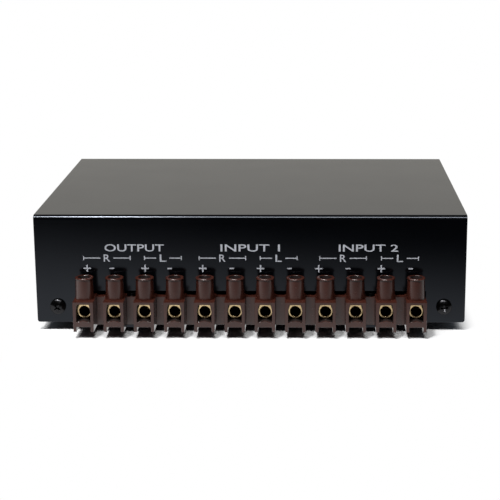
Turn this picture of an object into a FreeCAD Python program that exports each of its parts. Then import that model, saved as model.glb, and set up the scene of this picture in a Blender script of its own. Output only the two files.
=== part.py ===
"""Speaker selector switch: a folded steel case with a row of screw terminals and a rotary switch.

Frame: millimetres, +X to the right seen from the terminal side, +Y from the terminals to the
knob, +Z up. The origin is on the ground under the middle of the whole object.
"""
import FreeCAD, Part
import math
import operator
import os

import Sketcher
from FreeCAD import Placement, Rotation, Vector

# Driving dimensions: alias, value in mm (or a plain count or degrees), what it sets.
SIZES = [
    ("case_width", "170.0", "case, side to side"),
    ("case_depth", "122.5", "case, outside of rear panel to outside of front panel"),
    ("case_height", "43.5", "case, without its feet"),
    ("sheet", "1.0", "thickness of the steel sheet"),
    ("bend", "1.8", "outside radius of a sheet bend"),
    ("corner", "1.0", "radius of the panels' lower corners"),
    ("side_inset", "0.6", "side wall's outside behind the cover's edge"),
    ("sheet_play", "0.05", "gap between the tray and the cover"),
    ("tab_reach", "0.2", "screw tab's end from the notch that holds the strip"),
    ("tab_height", "13.0", "screw tab's top above the case's bottom"),
    ("foot_height", "3.5", "rubber foot"),
    ("foot_radius", "6.0", "rubber foot"),
    ("foot_round", "1.3", "rounding of the foot's lower edge"),
    ("foot_inset", "15.0", "foot's centre in from the case's sides"),
    ("screw_radius", "1.5", "case screw's thread"),
    ("screw_length", "6.0", "case screw under its head"),
    ("screw_head_radius", "3.1", "case screw"),
    ("screw_head", "2.1", "case screw's head, its height"),
    ("screw_dome", "4.6", "radius of the head's dome"),
    ("screw_side", "0.55", "case screw from the middle of the panel beside the strip, inwards"),
    ("screw_rise", "6.5", "case screw above the case's bottom"),
    ("hole_gap", "0.2", "clearance hole's radius over its screw's"),
    ("thread_gap", "0.03", "threaded hole's radius over its screw's"),
    ("pole_count", "12", "terminals in the strip"),
    ("pole_pitch", "11.8", "terminal to terminal"),
    ("strip_drop", "0.5", "terminals' feet below the case's bottom"),
    ("pole_foot", "7.95", "terminal's width at its feet"),
    ("pole_head", "8.05", "terminal's width at its top"),
    ("pole_height", "12.1", "terminal's box, feet included"),
    ("strip_reach", "11.8", "strip's face from the rear panel's face, both ways"),
    ("leg_height", "1.95", "legs under a terminal's crossbar"),
    ("crossbar", "1.9", "crossbar under a terminal's tunnel"),
    ("ridge", "0.85", "ridge along the crossbar"),
    ("tunnel_taper", "0.6", "tunnel narrows from here up, over the wire entry's axis"),
    ("tunnel_head", "4.6", "tunnel's width at its roof"),
    ("roof", "1.1", "roof over the tunnel"),
    ("web", "4.0", "webs between terminals, front to back"),
    ("web_drop", "0.55", "webs' top below the terminals' top"),
    ("web_bite", "0.6", "web's overlap with a terminal's wall"),
    ("chimney_radius", "3.4", "screwdriver guide, outside radius under its rim"),
    ("chimney_foot", "3.7", "screwdriver guide, outside radius at its foot"),
    ("chimney_bore", "2.5", "screwdriver guide, inside radius"),
    ("chimney_top", "20.65", "guide's rim above the terminal's feet"),
    ("chimney_offset", "5.6", "guide's axis from the strip's middle"),
    ("lip", "0.2", "rim of the guide, past its wall"),
    ("lip_height", "0.7", "rim of the guide"),
    ("notch_gap", "0.4", "panel notch's gap at the strip's ends"),
    ("notch_top", "12.9", "panel notch's top above the case's bottom"),
    ("bore_rise", "7.45", "wire entry's axis above the terminal's feet"),
    ("wire_bore", "1.9", "wire entry's radius"),
    ("sleeve_wall", "0.8", "brass sleeve's wall"),
    ("sleeve_head", "3.4", "brass sleeve's width at its flat top"),
    ("sleeve_fit", "0.05", "gap between sleeve and plastic"),
    ("sleeve_recess", "3.8", "sleeve's end behind the terminal's face"),
    ("sleeve_stop", "1.0", "solid middle that stops both wires"),
    ("collar_radius", "2.35", "sleeve's threaded collar"),
    ("collar_height", "1.5", "collar above the sleeve"),
    ("clamp_radius", "1.75", "clamp screw's thread"),
    ("clamp_length", "6.2", "clamp screw under its head"),
    ("clamp_point", "0.4", "clamp screw's tapered tip"),
    ("clamp_head_radius", "2.25", "clamp screw's head"),
    ("clamp_head", "1.8", "clamp screw's head, its height"),
    ("clamp_slot", "0.7", "width of the clamp screw's slot"),
    ("clamp_slot_depth", "0.9", "depth of the clamp screw's slot"),
    ("clamp_entry", "0.2", "open clamp screw's tip into the wire entry"),
    ("tongue_width", "9.0", "tray's tongue under the strip"),
    ("tongue_lap", "5.0", "tongue's lap under the tray's floor"),
    ("strip_screw_radius", "1.0", "strip's fixing screw"),
    ("strip_screw_length", "12.4", "fixing screw under its head"),
    ("strip_screw_head", "1.3", "fixing screw's head, its height"),
    ("strip_screw_play", "0.1", "gap between a fixing screw's head and the terminals"),
    ("knob_radius", "13.0", "knob's skirt"),
    ("knob_grip", "11.4", "knob's grip"),
    ("knob_crown", "10.4", "knob's face"),
    ("knob_reach", "17.0", "knob's face from the front panel"),
    ("knob_gap", "1.0", "knob's skirt from the front panel"),
    ("knob_skirt", "2.4", "height of the knob's skirt"),
    ("knob_hollow", "9.4", "hollow over the nut, radius"),
    ("knob_hollow_depth", "7.2", "hollow over the nut, depth"),
    ("knob_end_wall", "2.5", "knob's face over the shaft's end"),
    ("knob_flutes", "24", "grooves round the grip"),
    ("flute_radius", "0.8", "groove round the grip"),
    ("pointer_width", "1.3", "knob's pointer line"),
    ("pointer_depth", "0.5", "knob's pointer line"),
    ("grub_radius", "1.5", "knob's grub screw"),
    ("grub_length", "6.0", "knob's grub screw"),
    ("grub_reach", "3.6", "grub screw's axis behind the shaft's end"),
    ("shaft_radius", "3.0", "switch shaft"),
    ("shaft_flat", "2.4", "grub's flat from the shaft's axis"),
    ("shaft_blade", "3.6", "shaft's two driving flats, across"),
    ("shaft_tail", "3.0", "shaft past the last wafer"),
    ("running_gap", "0.03", "radial clearance of what turns"),
    ("bush_radius", "4.75", "threaded bush"),
    ("bush_reach", "5.5", "bush out of the front panel"),
    ("bush_flange", "6.5", "bush's inner flange, radius"),
    ("flange_thick", "1.0", "bush's inner flange"),
    ("nut_flats", "14.0", "panel nut across its flats"),
    ("nut_thick", "2.4", "panel nut"),
    ("washer_radius", "7.6", "lock washer"),
    ("washer_thick", "0.6", "lock washer"),
    ("clip_radius", "4.6", "shaft's retaining clip"),
    ("clip_thick", "0.8", "shaft's retaining clip"),
    ("clip_groove", "2.5", "clip's groove, radius of its floor"),
    ("plate_width", "44.0", "index plate, side to side"),
    ("plate_height", "27.0", "index plate"),
    ("plate_thick", "1.5", "index plate"),
    ("peg_radius", "1.4", "peg that stops the switch turning"),
    ("peg_offset", "11.5", "peg from the shaft's axis"),
    ("wheel_radius", "10.5", "detent wheel"),
    ("wheel_thick", "2.0", "detent wheel"),
    ("wheel_gap", "0.3", "detent wheel from the bush's flange"),
    ("detent_radius", "1.6", "notch in the detent wheel"),
    ("detent_orbit", "11.1", "notches' centres from the shaft's axis"),
    ("detent_count", "12", "notches in a full turn of the wheel"),
    ("spring_thick", "0.5", "detent spring"),
    ("spring_width", "4.0", "detent spring"),
    ("spring_rise", "13.0", "spring above the shaft's axis"),
    ("ear_offset", "15.0", "spring's ears from the middle"),
    ("ear_thick", "1.0", "spring's ears"),
    ("ear_depth", "7.5", "ears behind the index plate"),
    ("stop_width", "5.0", "wheel's stop lug"),
    ("stop_reach", "13.6", "stop lug's end from the shaft's axis"),
    ("stop_orbit", "12.5", "stop pegs from the shaft's axis"),
    ("stop_peg", "1.2", "stop peg's radius"),
    ("tie_inset", "3.0", "tie screws in from the index plate's ends"),
    ("tie_radius", "1.3", "tie screw"),
    ("tie_head_radius", "2.4", "tie screw's head"),
    ("tie_head", "1.6", "tie screw's head, its height"),
    ("tie_spacer", "2.75", "tie screw's spacer, outside radius"),
    ("wafer_gap", "14.0", "index plate to the first wafer"),
    ("wafer_pitch", "11.0", "wafer to wafer"),
    ("wafer_radius", "14.5", "wafer"),
    ("wafer_thick", "1.6", "wafer"),
    ("wafer_ear", "8.0", "wafer's ears, their height"),
    ("rotor_radius", "8.0", "wafer's turning disc"),
    ("blade_thick", "0.4", "rotor blades and contact clips"),
    ("blade_inner", "4.4", "rotor blade's inner radius"),
    ("blade_outer", "6.2", "rotor blade's outer radius"),
    ("blade_tab", "7.7", "rotor blade's switching tab, its radius"),
    ("blade_tab_width", "2.4", "rotor blade's switching tab"),
    ("clip_width", "2.2", "contact clip"),
    ("clip_end", "17.6", "contact clip's lug from the shaft's axis"),
    ("clip_hole", "16.3", "hole in the lug from the shaft's axis"),
    ("rivet_orbit", "12.2", "clip's rivet from the shaft's axis"),
    ("rivet_radius", "0.9", "clip's rivet"),
    ("core_radius", "0.65", "wire's copper core"),
    ("jacket_radius", "1.1", "wire over its insulation"),
    ("core_entry", "6.0", "core's length in a terminal"),
    ("core_tail", "1.2", "bare core behind and past a lug"),
    ("bypass_orbit", "19.6", "wires past the rear wafer, from the shaft's axis"),
    ("wire_bend", "10.0", "largest bend of a wire"),
]

OPERATORS = {"+": operator.add, "-": operator.sub, "*": operator.mul, "/": operator.truediv}


class Size:
    """A dimension: its number now, and the sheet expression that it comes from."""

    def __init__(self, text, value):
        self.text = text
        self.value = value

    def join(self, sign, other, turned=False):
        other = as_size(other)
        left, right = (other, self) if turned else (self, other)
        return Size(f"({left.text} {sign} {right.text})", OPERATORS[sign](left.value, right.value))

    def __add__(self, other):
        return self.join("+", other)

    def __radd__(self, other):
        return self.join("+", other, turned=True)

    def __sub__(self, other):
        return self.join("-", other)

    def __rsub__(self, other):
        return self.join("-", other, turned=True)

    def __mul__(self, other):
        return self.join("*", other)

    def __rmul__(self, other):
        return self.join("*", other, turned=True)

    def __truediv__(self, other):
        return self.join("/", other)

    def __rtruediv__(self, other):
        return self.join("/", other, turned=True)

    def __neg__(self):
        return Size(f"(0 - {self.text})", -self.value)


def as_size(number):
    """A Size as it is, or a plain number made into one."""
    return number if isinstance(number, Size) else Size(repr(float(number)), float(number))


class Sheet:
    """The sheet's aliases as attributes: size.case_width is a Size."""

    def __init__(self, doc):
        sheet = doc.addObject("Spreadsheet::Sheet", "Sizes")
        for row, (alias, value, meaning) in enumerate(SIZES, start=1):
            sheet.set(f"A{row}", value)
            sheet.setAlias(f"A{row}", alias)
            sheet.set(f"B{row}", meaning)
            setattr(self, alias, Size(f"Sizes.{alias}", float(value)))


doc = FreeCAD.newDocument("SpeakerSelector")
size = Sheet(doc)
nodes = []


# ---------------------------------------------------------------- small tools

def bind(thing, prop, length):
    thing.setExpression(prop, as_size(length).text)


def place(thing, x=0, y=0, z=0, rotation=None):
    """Puts an object at a place that the sheet holds, turned by rotation."""
    if rotation is not None:
        thing.Placement = Placement(Vector(), rotation)
    for axis, length in (("x", x), ("y", y), ("z", z)):
        bind(thing, f"Placement.Base.{axis}", length)
    return thing


def node(thing, name):
    """Marks a finished sub-part: its label is the node's and the file's name."""
    thing.Label = name
    nodes.append(thing)
    return thing


# Turns a shape made along +Z to lie along another direction.
ALONG = {
    "x": Rotation(Vector(0, 1, 0), 90),
    "y": Rotation(Vector(1, 0, 0), -90),
    "z": Rotation(),
    "-y": Rotation(Vector(1, 0, 0), 90),
}


def box(x, y, z, name="Block"):
    """A block between two values on each axis, each given as (low, high)."""
    block = doc.addObject("Part::Box", name)
    for prop, (low, high) in (("Length", x), ("Width", y), ("Height", z)):
        bind(block, prop, high - low)
    return place(block, x[0], y[0], z[0])


def rod(radius, x, y, z, along="z", name="Rod"):
    """A cylinder along one axis, which is given as (start, end); the others are its centre."""
    bar = doc.addObject("Part::Cylinder", name)
    start, end = {"x": x, "y": y, "z": z}[along]
    bind(bar, "Radius", radius)
    bind(bar, "Height", end - start)
    base = {"x": x, "y": y, "z": z, along: start}
    return place(bar, base["x"], base["y"], base["z"], ALONG[along])


def fuse(*shapes, name="Joined"):
    joined = doc.addObject("Part::MultiFuse", name)
    joined.Shapes = list(shapes)
    return joined


def common(*shapes, name="Shared"):
    shared = doc.addObject("Part::MultiCommon", name)
    shared.Shapes = list(shapes)
    return shared


def cut(base, *tools, name="Cut"):
    rest = doc.addObject("Part::Cut", name)
    rest.Base = base
    rest.Tool = tools[0] if len(tools) == 1 else fuse(*tools)
    return rest


def group(*shapes, name="Group"):
    """Several separate solids as one object."""
    together = doc.addObject("Part::Compound", name)
    together.Links = list(shapes)
    return together


def tube(radius, bore, x, y, z, along="y"):
    return cut(rod(radius, x, y, z, along), rod(bore, x, y, z, along))


# ---------------------------------------------------------------- PartDesign tools

def new_body(name):
    return doc.addObject("PartDesign::Body", name)


def origin_feature(body, role):
    return next(f for f in body.Origin.OriginFeatures if f.Role == role)


def sketch(body, plane, shift=0):
    """A sketch on one of the body's own planes, moved along that plane's normal."""
    drawing = body.newObject("Sketcher::SketchObject", "Sketch")
    drawing.AttachmentSupport = [(origin_feature(body, plane), "")]
    drawing.MapMode = "FlatFace"
    bind(drawing, "AttachmentOffset.Base.z", shift)
    return drawing


def hold(drawing, curve, point, x, y):
    """Ties a point of a curve to its place from the sketch's origin."""
    for kind, length in (("DistanceX", as_size(x)), ("DistanceY", as_size(y))):
        rule = drawing.addConstraint(Sketcher.Constraint(kind, -1, 1, curve, point, length.value))
        drawing.setExpression(f"Constraints[{rule}]", length.text)


def outline(drawing, corners):
    """A closed outline with straight sides through corners that the sheet holds."""
    first = drawing.GeometryCount
    ends = [Vector(as_size(x).value, as_size(y).value, 0) for x, y in corners]
    for start, end in zip(ends, ends[1:] + ends[:1]):
        drawing.addGeometry(Part.LineSegment(start, end), False)
    for i in range(len(ends)):
        following = first + (i + 1) % len(ends)
        drawing.addConstraint(Sketcher.Constraint("Coincident", first + i, 2, following, 1))
    for i, (x, y) in enumerate(corners):
        hold(drawing, first + i, 1, x, y)


def rectangle(drawing, x, y):
    outline(drawing, [(x[0], y[0]), (x[1], y[0]), (x[1], y[1]), (x[0], y[1])])


def circle(drawing, x, y, radius):
    radius = as_size(radius)
    centre = Vector(as_size(x).value, as_size(y).value, 0)
    curve = drawing.addGeometry(Part.Circle(centre, Vector(0, 0, 1), radius.value), False)
    hold(drawing, curve, 3, x, y)
    rule = drawing.addConstraint(Sketcher.Constraint("Radius", curve, radius.value))
    drawing.setExpression(f"Constraints[{rule}]", radius.text)


def pad(body, drawing, length, midplane=False, turned=False):
    feature = body.newObject("PartDesign::Pad", "Pad")
    feature.Profile = drawing
    bind(feature, "Length", length)
    feature.Midplane = midplane
    feature.Reversed = turned
    return feature


def pocket(body, drawing, depth):
    """Cuts a sketch's shape out, against its plane's normal, and checks that it did."""
    doc.recompute()
    before = body.Shape.Volume
    feature = body.newObject("PartDesign::Pocket", "Pocket")
    feature.Profile = drawing
    bind(feature, "Length", depth)
    doc.recompute()
    if not body.Shape.Volume < before:
        raise RuntimeError(f"{body.Name}: a pocket cuts nothing")
    return feature


def fillet(body, radius, chosen):
    """Rounds the edges of the body that chosen(edge) picks."""
    doc.recompute()
    names = [f"Edge{i}" for i, edge in enumerate(body.Shape.Edges, start=1) if chosen(edge)]
    last = body.Tip
    feature = body.newObject("PartDesign::Fillet", "Fillet")
    feature.Base = (last, names)
    bind(feature, "Radius", radius)
    return feature


def near(edge, **place_of):
    """True when an edge's middle is at the given coordinates."""
    middle = edge.CenterOfMass
    return all(abs(getattr(middle, axis) - as_size(v).value) < 1e-6 for axis, v in place_of.items())


def runs_along(edge, axis):
    """True for a straight edge along the axis x, y or z."""
    box_of = edge.BoundBox
    spans = {"x": box_of.XLength, "y": box_of.YLength, "z": box_of.ZLength}
    return all((span > 1e-6) == (name == axis) for name, span in spans.items())


def row_pattern(body, features, pitch, count):
    """Repeats features along +X."""
    pattern = body.newObject("PartDesign::LinearPattern", "Row")
    pattern.Originals = features
    pattern.Direction = (origin_feature(body, "X_Axis"), [""])
    pattern.Mode = "Spacing"
    bind(pattern, "Offset", pitch)
    bind(pattern, "Occurrences", count)
    body.Tip = pattern
    return pattern


def ring_pattern(body, features, count):
    """Repeats features round the body's own Z axis."""
    pattern = body.newObject("PartDesign::PolarPattern", "Ring")
    pattern.Originals = features
    pattern.Axis = (origin_feature(body, "Z_Axis"), [""])
    bind(pattern, "Occurrences", count)
    body.Tip = pattern
    return pattern


# ---------------------------------------------------------------- places that pieces share

rear = (size.strip_reach - size.case_depth - size.knob_reach) / 2    # rear panel's outer face
front = rear + size.case_depth                                       # front panel's outer face
ground = size.foot_height                                            # case's bottom
top = ground + size.case_height
half_width = size.case_width / 2
side = half_width - size.side_inset                                  # side wall's outer face
floor_top = ground + size.sheet
strip_ground = ground - size.strip_drop                              # terminals' feet
strip_top = strip_ground + size.pole_height
web_top = strip_top - size.web_drop
first_pole = -(size.pole_count - 1) * size.pole_pitch / 2
strip_half = -first_pole + size.pole_head / 2
strip_screw_x = (size.pole_count / 2 - 2) * size.pole_pitch
notch = strip_half + size.notch_gap                                  # end of the strip's notch
case_screw_x = (notch + half_width) / 2 - size.screw_side
case_screw_z = ground + size.screw_rise
inner_rear = rear + size.sheet + size.sheet_play
inner_front = front - size.sheet - size.sheet_play
bore_z = strip_ground + size.bore_rise
sleeve_half = size.strip_reach - size.sleeve_recess
sleeve_radius = size.wire_bore + size.sleeve_wall
core_z = bore_z - size.wire_bore + size.core_radius + size.thread_gap  # core on the bore's floor
sleeve_top = strip_top - size.roof - size.sleeve_fit
shaft_z = ground + size.case_height / 2
plate_rear = front - size.sheet - size.plate_thick
tie_x = size.plate_width / 2 - size.tie_inset
wheel_front = plate_rear - size.flange_thick - size.wheel_gap
wheel_rear = wheel_front - size.wheel_thick
front_wafer = plate_rear - size.wafer_gap                            # a wafer's front face
rear_wafer = front_wafer - size.wafer_pitch
shaft_rear = rear_wafer - size.wafer_thick - size.shaft_tail
shaft_front = front + size.knob_reach - size.knob_end_wall - size.sheet_play
detent_step = 360 / size.detent_count


# ---------------------------------------------------------------- case

def make_cover():
    """Rear panel, top and front panel, folded from one sheet."""
    body = new_body("Cover")
    section = sketch(body, "YZ_Plane")
    outline(section, [
        (rear, ground), (rear, top), (front, top), (front, ground),
        (front - size.sheet, ground), (front - size.sheet, top - size.sheet),
        (rear + size.sheet, top - size.sheet), (rear + size.sheet, ground),
    ])
    pad(body, section, size.case_width, midplane=True)
    fillet(body, size.bend, lambda e: runs_along(e, "x") and (
        near(e, y=rear, z=top) or near(e, y=front, z=top)))
    fillet(body, size.bend - size.sheet, lambda e: runs_along(e, "x") and (
        near(e, y=rear + size.sheet, z=top - size.sheet)
        or near(e, y=front - size.sheet, z=top - size.sheet)))
    fillet(body, size.corner, lambda e: runs_along(e, "y") and near(e, z=ground)
           and abs(abs(e.CenterOfMass.x) - half_width.value) < 1e-6)

    # The rear panel's openings: a notch for the terminal strip and the screw holes.
    rear_holes = sketch(body, "XZ_Plane", -(rear - size.sheet))
    rectangle(rear_holes, (-notch, notch), (ground - size.sheet, ground + size.notch_top))
    panel_screw_holes(rear_holes)
    pocket(body, rear_holes, size.sheet * 3)

    # The front panel's openings: bush, peg and screw holes.
    front_holes = sketch(body, "XZ_Plane", -(front - size.sheet * 2))
    circle(front_holes, 0, shaft_z, size.bush_radius + size.hole_gap)
    circle(front_holes, -size.peg_offset, shaft_z, size.peg_radius + size.hole_gap)
    panel_screw_holes(front_holes)
    pocket(body, front_holes, size.sheet * 3)
    node(body, "cover")


def panel_screw_holes(drawing):
    for x in (-case_screw_x, case_screw_x):
        circle(drawing, x, case_screw_z, size.screw_radius + size.hole_gap)


def make_base_tray():
    """Floor and side walls, with the tabs that the case screws bite into."""
    body = new_body("BaseTray")
    floor = sketch(body, "XY_Plane", ground)
    notch_end = rear + size.strip_reach + size.notch_gap
    outline(floor, [
        (-side, inner_rear), (-notch, inner_rear), (-notch, notch_end), (notch, notch_end),
        (notch, inner_rear), (side, inner_rear), (side, inner_front), (-side, inner_front),
    ])
    pad(body, floor, size.sheet)
    walls = sketch(body, "XY_Plane", ground)
    rectangle(walls, (-side, -side + size.sheet), (inner_rear, inner_front))
    rectangle(walls, (side - size.sheet, side), (inner_rear, inner_front))
    wall_top = top - size.sheet - size.sheet_play
    pad(body, walls, wall_top - ground)
    fillet(body, size.bend, lambda e: runs_along(e, "y") and near(e, z=ground)
           and abs(abs(e.CenterOfMass.x) - side.value) < 1e-6)
    fillet(body, size.bend - size.sheet, lambda e: runs_along(e, "y") and near(e, z=floor_top)
           and abs(abs(e.CenterOfMass.x) - (side - size.sheet).value) < 1e-6)
    fillet(body, size.bend - size.sheet, lambda e: runs_along(e, "x") and (
        near(e, y=inner_rear, z=wall_top) or near(e, y=inner_front, z=wall_top)))

    # Four tabs, bent in from the ends of the side walls.
    for face in (inner_rear + size.sheet, inner_front):
        tabs = sketch(body, "XZ_Plane", -face)
        tab_end = notch + size.tab_reach
        for low, high in ((-side + size.sheet / 2, -tab_end), (tab_end, side - size.sheet / 2)):
            rectangle(tabs, (low, high), (floor_top, ground + size.tab_height))
        pad(body, tabs, size.sheet)
        holes = sketch(body, "XZ_Plane", -(face - size.sheet * 2))
        for x in (-case_screw_x, case_screw_x):
            circle(holes, x, case_screw_z, size.screw_radius + size.thread_gap)
        pocket(body, holes, size.sheet * 3)

    # Two tongues, joggled down under the floor, that carry the terminal strip.
    laps = sketch(body, "XY_Plane", ground)
    tongues = sketch(body, "XY_Plane", strip_ground)
    for x in (-strip_screw_x, strip_screw_x):
        across = (x - size.tongue_width / 2, x + size.tongue_width / 2)
        rectangle(laps, across, (notch_end, notch_end + size.tongue_lap))
        rectangle(tongues, across, (rear - size.web / 2, notch_end + size.tongue_lap))
    pad(body, laps, size.strip_drop + size.sheet, turned=True)
    pad(body, tongues, size.sheet, turned=True)
    holes = sketch(body, "XY_Plane", ground + size.sheet)
    for x in (-strip_screw_x, strip_screw_x):
        circle(holes, x, rear, size.strip_screw_radius + size.thread_gap)
    pocket(body, holes, size.sheet * 3)
    node(body, "base_tray")


def make_feet():
    """Four stick-on rubber feet with a rounded lower edge."""
    x_out = half_width - size.foot_inset
    places = {
        "foot_rear_left": (-x_out, rear + size.foot_inset * 2),
        "foot_rear_right": (x_out, rear + size.foot_inset * 2),
        "foot_front_left": (-x_out, front - size.foot_inset),
        "foot_front_right": (x_out, front - size.foot_inset),
    }
    for name, (x, y) in places.items():
        rounding = doc.addObject("Part::Cone", "Rounding")
        bind(rounding, "Radius1", size.foot_radius - size.foot_round)
        bind(rounding, "Radius2", size.foot_radius)
        bind(rounding, "Height", size.foot_round)
        pad_above = rod(size.foot_radius, 0, 0, (size.foot_round, size.foot_height))
        foot = fuse(rounding, pad_above, name="Foot")
        node(place(foot, x, y, 0), name)


def pan_screw(radius, length, head_radius, head, dome, cross_turn=0):
    """A domed screw with a cross recess, its head along +Z from the head's seat."""
    shank = rod(radius, 0, 0, (-length, 0))
    disc = rod(head_radius, 0, 0, (0, head))
    ball = doc.addObject("Part::Sphere", "Dome")
    bind(ball, "Radius", dome)
    place(ball, 0, 0, head - dome)
    arm = head_radius * 0.6
    arm_width = head_radius * 0.13
    floor = head * 0.25
    across = box((-arm, arm), (-arm_width, arm_width), (floor, head * 1.1))
    along = box((-arm_width, arm_width), (-arm, arm), (floor, head * 1.1))
    taper = doc.addObject("Part::Cone", "Taper")
    bind(taper, "Radius1", head_radius * 0.22)
    bind(taper, "Radius2", arm)
    bind(taper, "Height", head * 1.1 - floor)
    place(taper, 0, 0, floor)
    cross = common(fuse(across, along), taper)
    cross.Placement = Placement(Vector(), Rotation(Vector(0, 0, 1), cross_turn))
    return cut(fuse(shank, common(disc, ball)), cross, name="PanScrew")


def make_case_screws():
    """Four screws through the panels into the tray's tabs."""
    places = {
        "case_screw_rear_left": (-case_screw_x, rear, "-y", 45),
        "case_screw_rear_right": (case_screw_x, rear, "-y", 4),
        "case_screw_front_left": (-case_screw_x, front, "y", 20),
        "case_screw_front_right": (case_screw_x, front, "y", 70),
    }
    for name, (x, y, way, turn) in places.items():
        screw = pan_screw(size.screw_radius, size.screw_length, size.screw_head_radius,
                          size.screw_head, size.screw_dome, turn)
        node(place(screw, x, y, case_screw_z, ALONG[way]), name)


# ---------------------------------------------------------------- terminal strip

def make_terminal_strip():
    """The moulded strip: hollow terminals with two screwdriver guides each, and webs between."""
    body = new_body("TerminalStrip")
    x = first_pole
    tunnel, tunnel_head = sleeve_radius + size.sleeve_fit, size.tunnel_head / 2
    leg_top = strip_ground + size.leg_height
    sill = leg_top + size.crossbar
    taper = bore_z + size.tunnel_taper

    section = sketch(body, "XZ_Plane", -rear)
    outline(section, [
        (x - size.pole_foot / 2, strip_ground), (x - tunnel, strip_ground), (x - tunnel, leg_top),
        (x + tunnel, leg_top), (x + tunnel, strip_ground), (x + size.pole_foot / 2, strip_ground),
        (x + size.pole_head / 2, strip_top), (x - size.pole_head / 2, strip_top),
    ])
    outline(section, [
        (x - tunnel, sill), (x, sill + size.ridge), (x + tunnel, sill), (x + tunnel, taper),
        (x + tunnel_head, strip_top - size.roof), (x - tunnel_head, strip_top - size.roof),
        (x - tunnel, taper),
    ])
    shell = pad(body, section, size.strip_reach * 2, midplane=True)

    rim_top = strip_ground + size.chimney_top
    walls = sketch(body, "XY_Plane", strip_top)
    rims = sketch(body, "XY_Plane", rim_top - size.lip_height)
    openings = sketch(body, "XY_Plane", rim_top)
    for y in (rear - size.chimney_offset, rear + size.chimney_offset):
        circle(walls, x, y, size.chimney_foot)
        circle(rims, x, y, size.chimney_radius + size.lip)
        circle(openings, x, y, size.chimney_bore)
    chimneys = pad(body, walls, size.chimney_top - size.pole_height)
    slope = (size.chimney_foot - size.chimney_radius) / (size.chimney_top - size.pole_height)
    chimneys.setExpression("TaperAngle", f"-atan({slope.text})")
    lips = pad(body, rims, size.lip_height)
    bores = pocket(body, openings, rim_top - taper)
    row_pattern(body, [shell, chimneys, lips, bores], size.pole_pitch, size.pole_count)
    doc.recompute()

    bridge = sketch(body, "XY_Plane", strip_ground)
    reach = size.pole_head / 2 - size.web_bite
    rectangle(bridge, (x + reach, x + size.pole_pitch - reach),
              (rear - size.web / 2, rear + size.web / 2))
    web = pad(body, bridge, size.pole_height - size.web_drop)
    row_pattern(body, [web], size.pole_pitch, size.pole_count - 1)
    fixings = sketch(body, "XY_Plane", web_top)
    for at in (-strip_screw_x, strip_screw_x):
        circle(fixings, at, rear, size.strip_screw_radius + size.hole_gap)
    pocket(body, fixings, size.pole_height * 1.1)
    node(body, "terminal_strip")


def make_terminal_sleeves():
    """A brass sleeve in each terminal: two blind wire entries and a threaded collar over each."""
    body = new_body("TerminalSleeves")
    x = first_pole
    barrel_end = sketch(body, "XZ_Plane", -rear)
    circle(barrel_end, x, bore_z, sleeve_radius)
    barrel = pad(body, barrel_end, sleeve_half * 2, midplane=True)
    shoulder_end = sketch(body, "XZ_Plane", -rear)
    flat = size.sleeve_head / 2
    outline(shoulder_end, [
        (x - sleeve_radius, bore_z), (x + sleeve_radius, bore_z),
        (x + sleeve_radius, bore_z + size.tunnel_taper), (x + flat, sleeve_top),
        (x - flat, sleeve_top), (x - sleeve_radius, bore_z + size.tunnel_taper),
    ])
    shoulder = pad(body, shoulder_end, sleeve_half * 2, midplane=True)

    collar_top = sleeve_top + size.collar_height
    collar_ends = sketch(body, "XY_Plane", bore_z + size.wire_bore)
    hole_ends = sketch(body, "XY_Plane", collar_top)
    for y in (rear - size.chimney_offset, rear + size.chimney_offset):
        circle(collar_ends, x, y, size.collar_radius)
        circle(hole_ends, x, y, size.clamp_radius + size.thread_gap)
    collars = pad(body, collar_ends, collar_top - bore_z - size.wire_bore)
    tapped = pocket(body, hole_ends, collar_top - bore_z)

    outer_end = sketch(body, "XZ_Plane", -(rear - sleeve_half))
    circle(outer_end, x, bore_z, size.wire_bore)
    outer_bore = pocket(body, outer_end, sleeve_half - size.sleeve_stop / 2)
    inner_end = sketch(body, "XZ_Plane", -(rear + size.sleeve_stop / 2))
    circle(inner_end, x, bore_z, size.wire_bore)
    inner_bore = pocket(body, inner_end, sleeve_half - size.sleeve_stop / 2)
    row_pattern(body, [barrel, shoulder, collars, tapped, outer_bore, inner_bore],
                size.pole_pitch, size.pole_count)
    node(body, "terminal_sleeves")


def clamp_screw():
    """A slotted clamp screw, tip at the origin, head up."""
    tip = doc.addObject("Part::Cone", "Tip")
    bind(tip, "Radius1", size.clamp_radius - size.clamp_point)
    bind(tip, "Radius2", size.clamp_radius)
    bind(tip, "Height", size.clamp_point)
    shank = rod(size.clamp_radius, 0, 0, (size.clamp_point, size.clamp_length))
    head_top = size.clamp_length + size.clamp_head
    head = rod(size.clamp_head_radius, 0, 0, (size.clamp_length, head_top))
    slot = box((-size.clamp_head_radius * 1.1, size.clamp_head_radius * 1.1),
               (-size.clamp_slot / 2, size.clamp_slot / 2),
               (head_top - size.clamp_slot_depth, head_top * 1.1))
    return cut(fuse(tip, shank, head), slot, name="ClampScrew")


def pole_x(index):
    return first_pole + size.pole_pitch * index


def slot_turn(index):
    """Screws are left at uneven angles, as a screwdriver leaves them."""
    return Rotation(Vector(0, 0, 1), (index * 67 + 20) % 180)


def make_clamp_screws():
    """Outer screws, one node each and open; inner ones together, tight on their wires."""
    open_tip = bore_z + size.wire_bore - size.clamp_entry
    for index in range(int(size.pole_count.value)):
        screw = place(clamp_screw(), pole_x(index), rear - size.chimney_offset, open_tip,
                      slot_turn(index))
        node(screw, f"clamp_screw_{index + 1:02d}")
    tight_tip = core_z + size.core_radius + size.thread_gap
    node(group(*[
        place(clamp_screw(), pole_x(index), rear + size.chimney_offset, tight_tip,
              slot_turn(index + 5))
        for index in range(int(size.pole_count.value))
    ]), "inner_clamp_screws")


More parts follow.
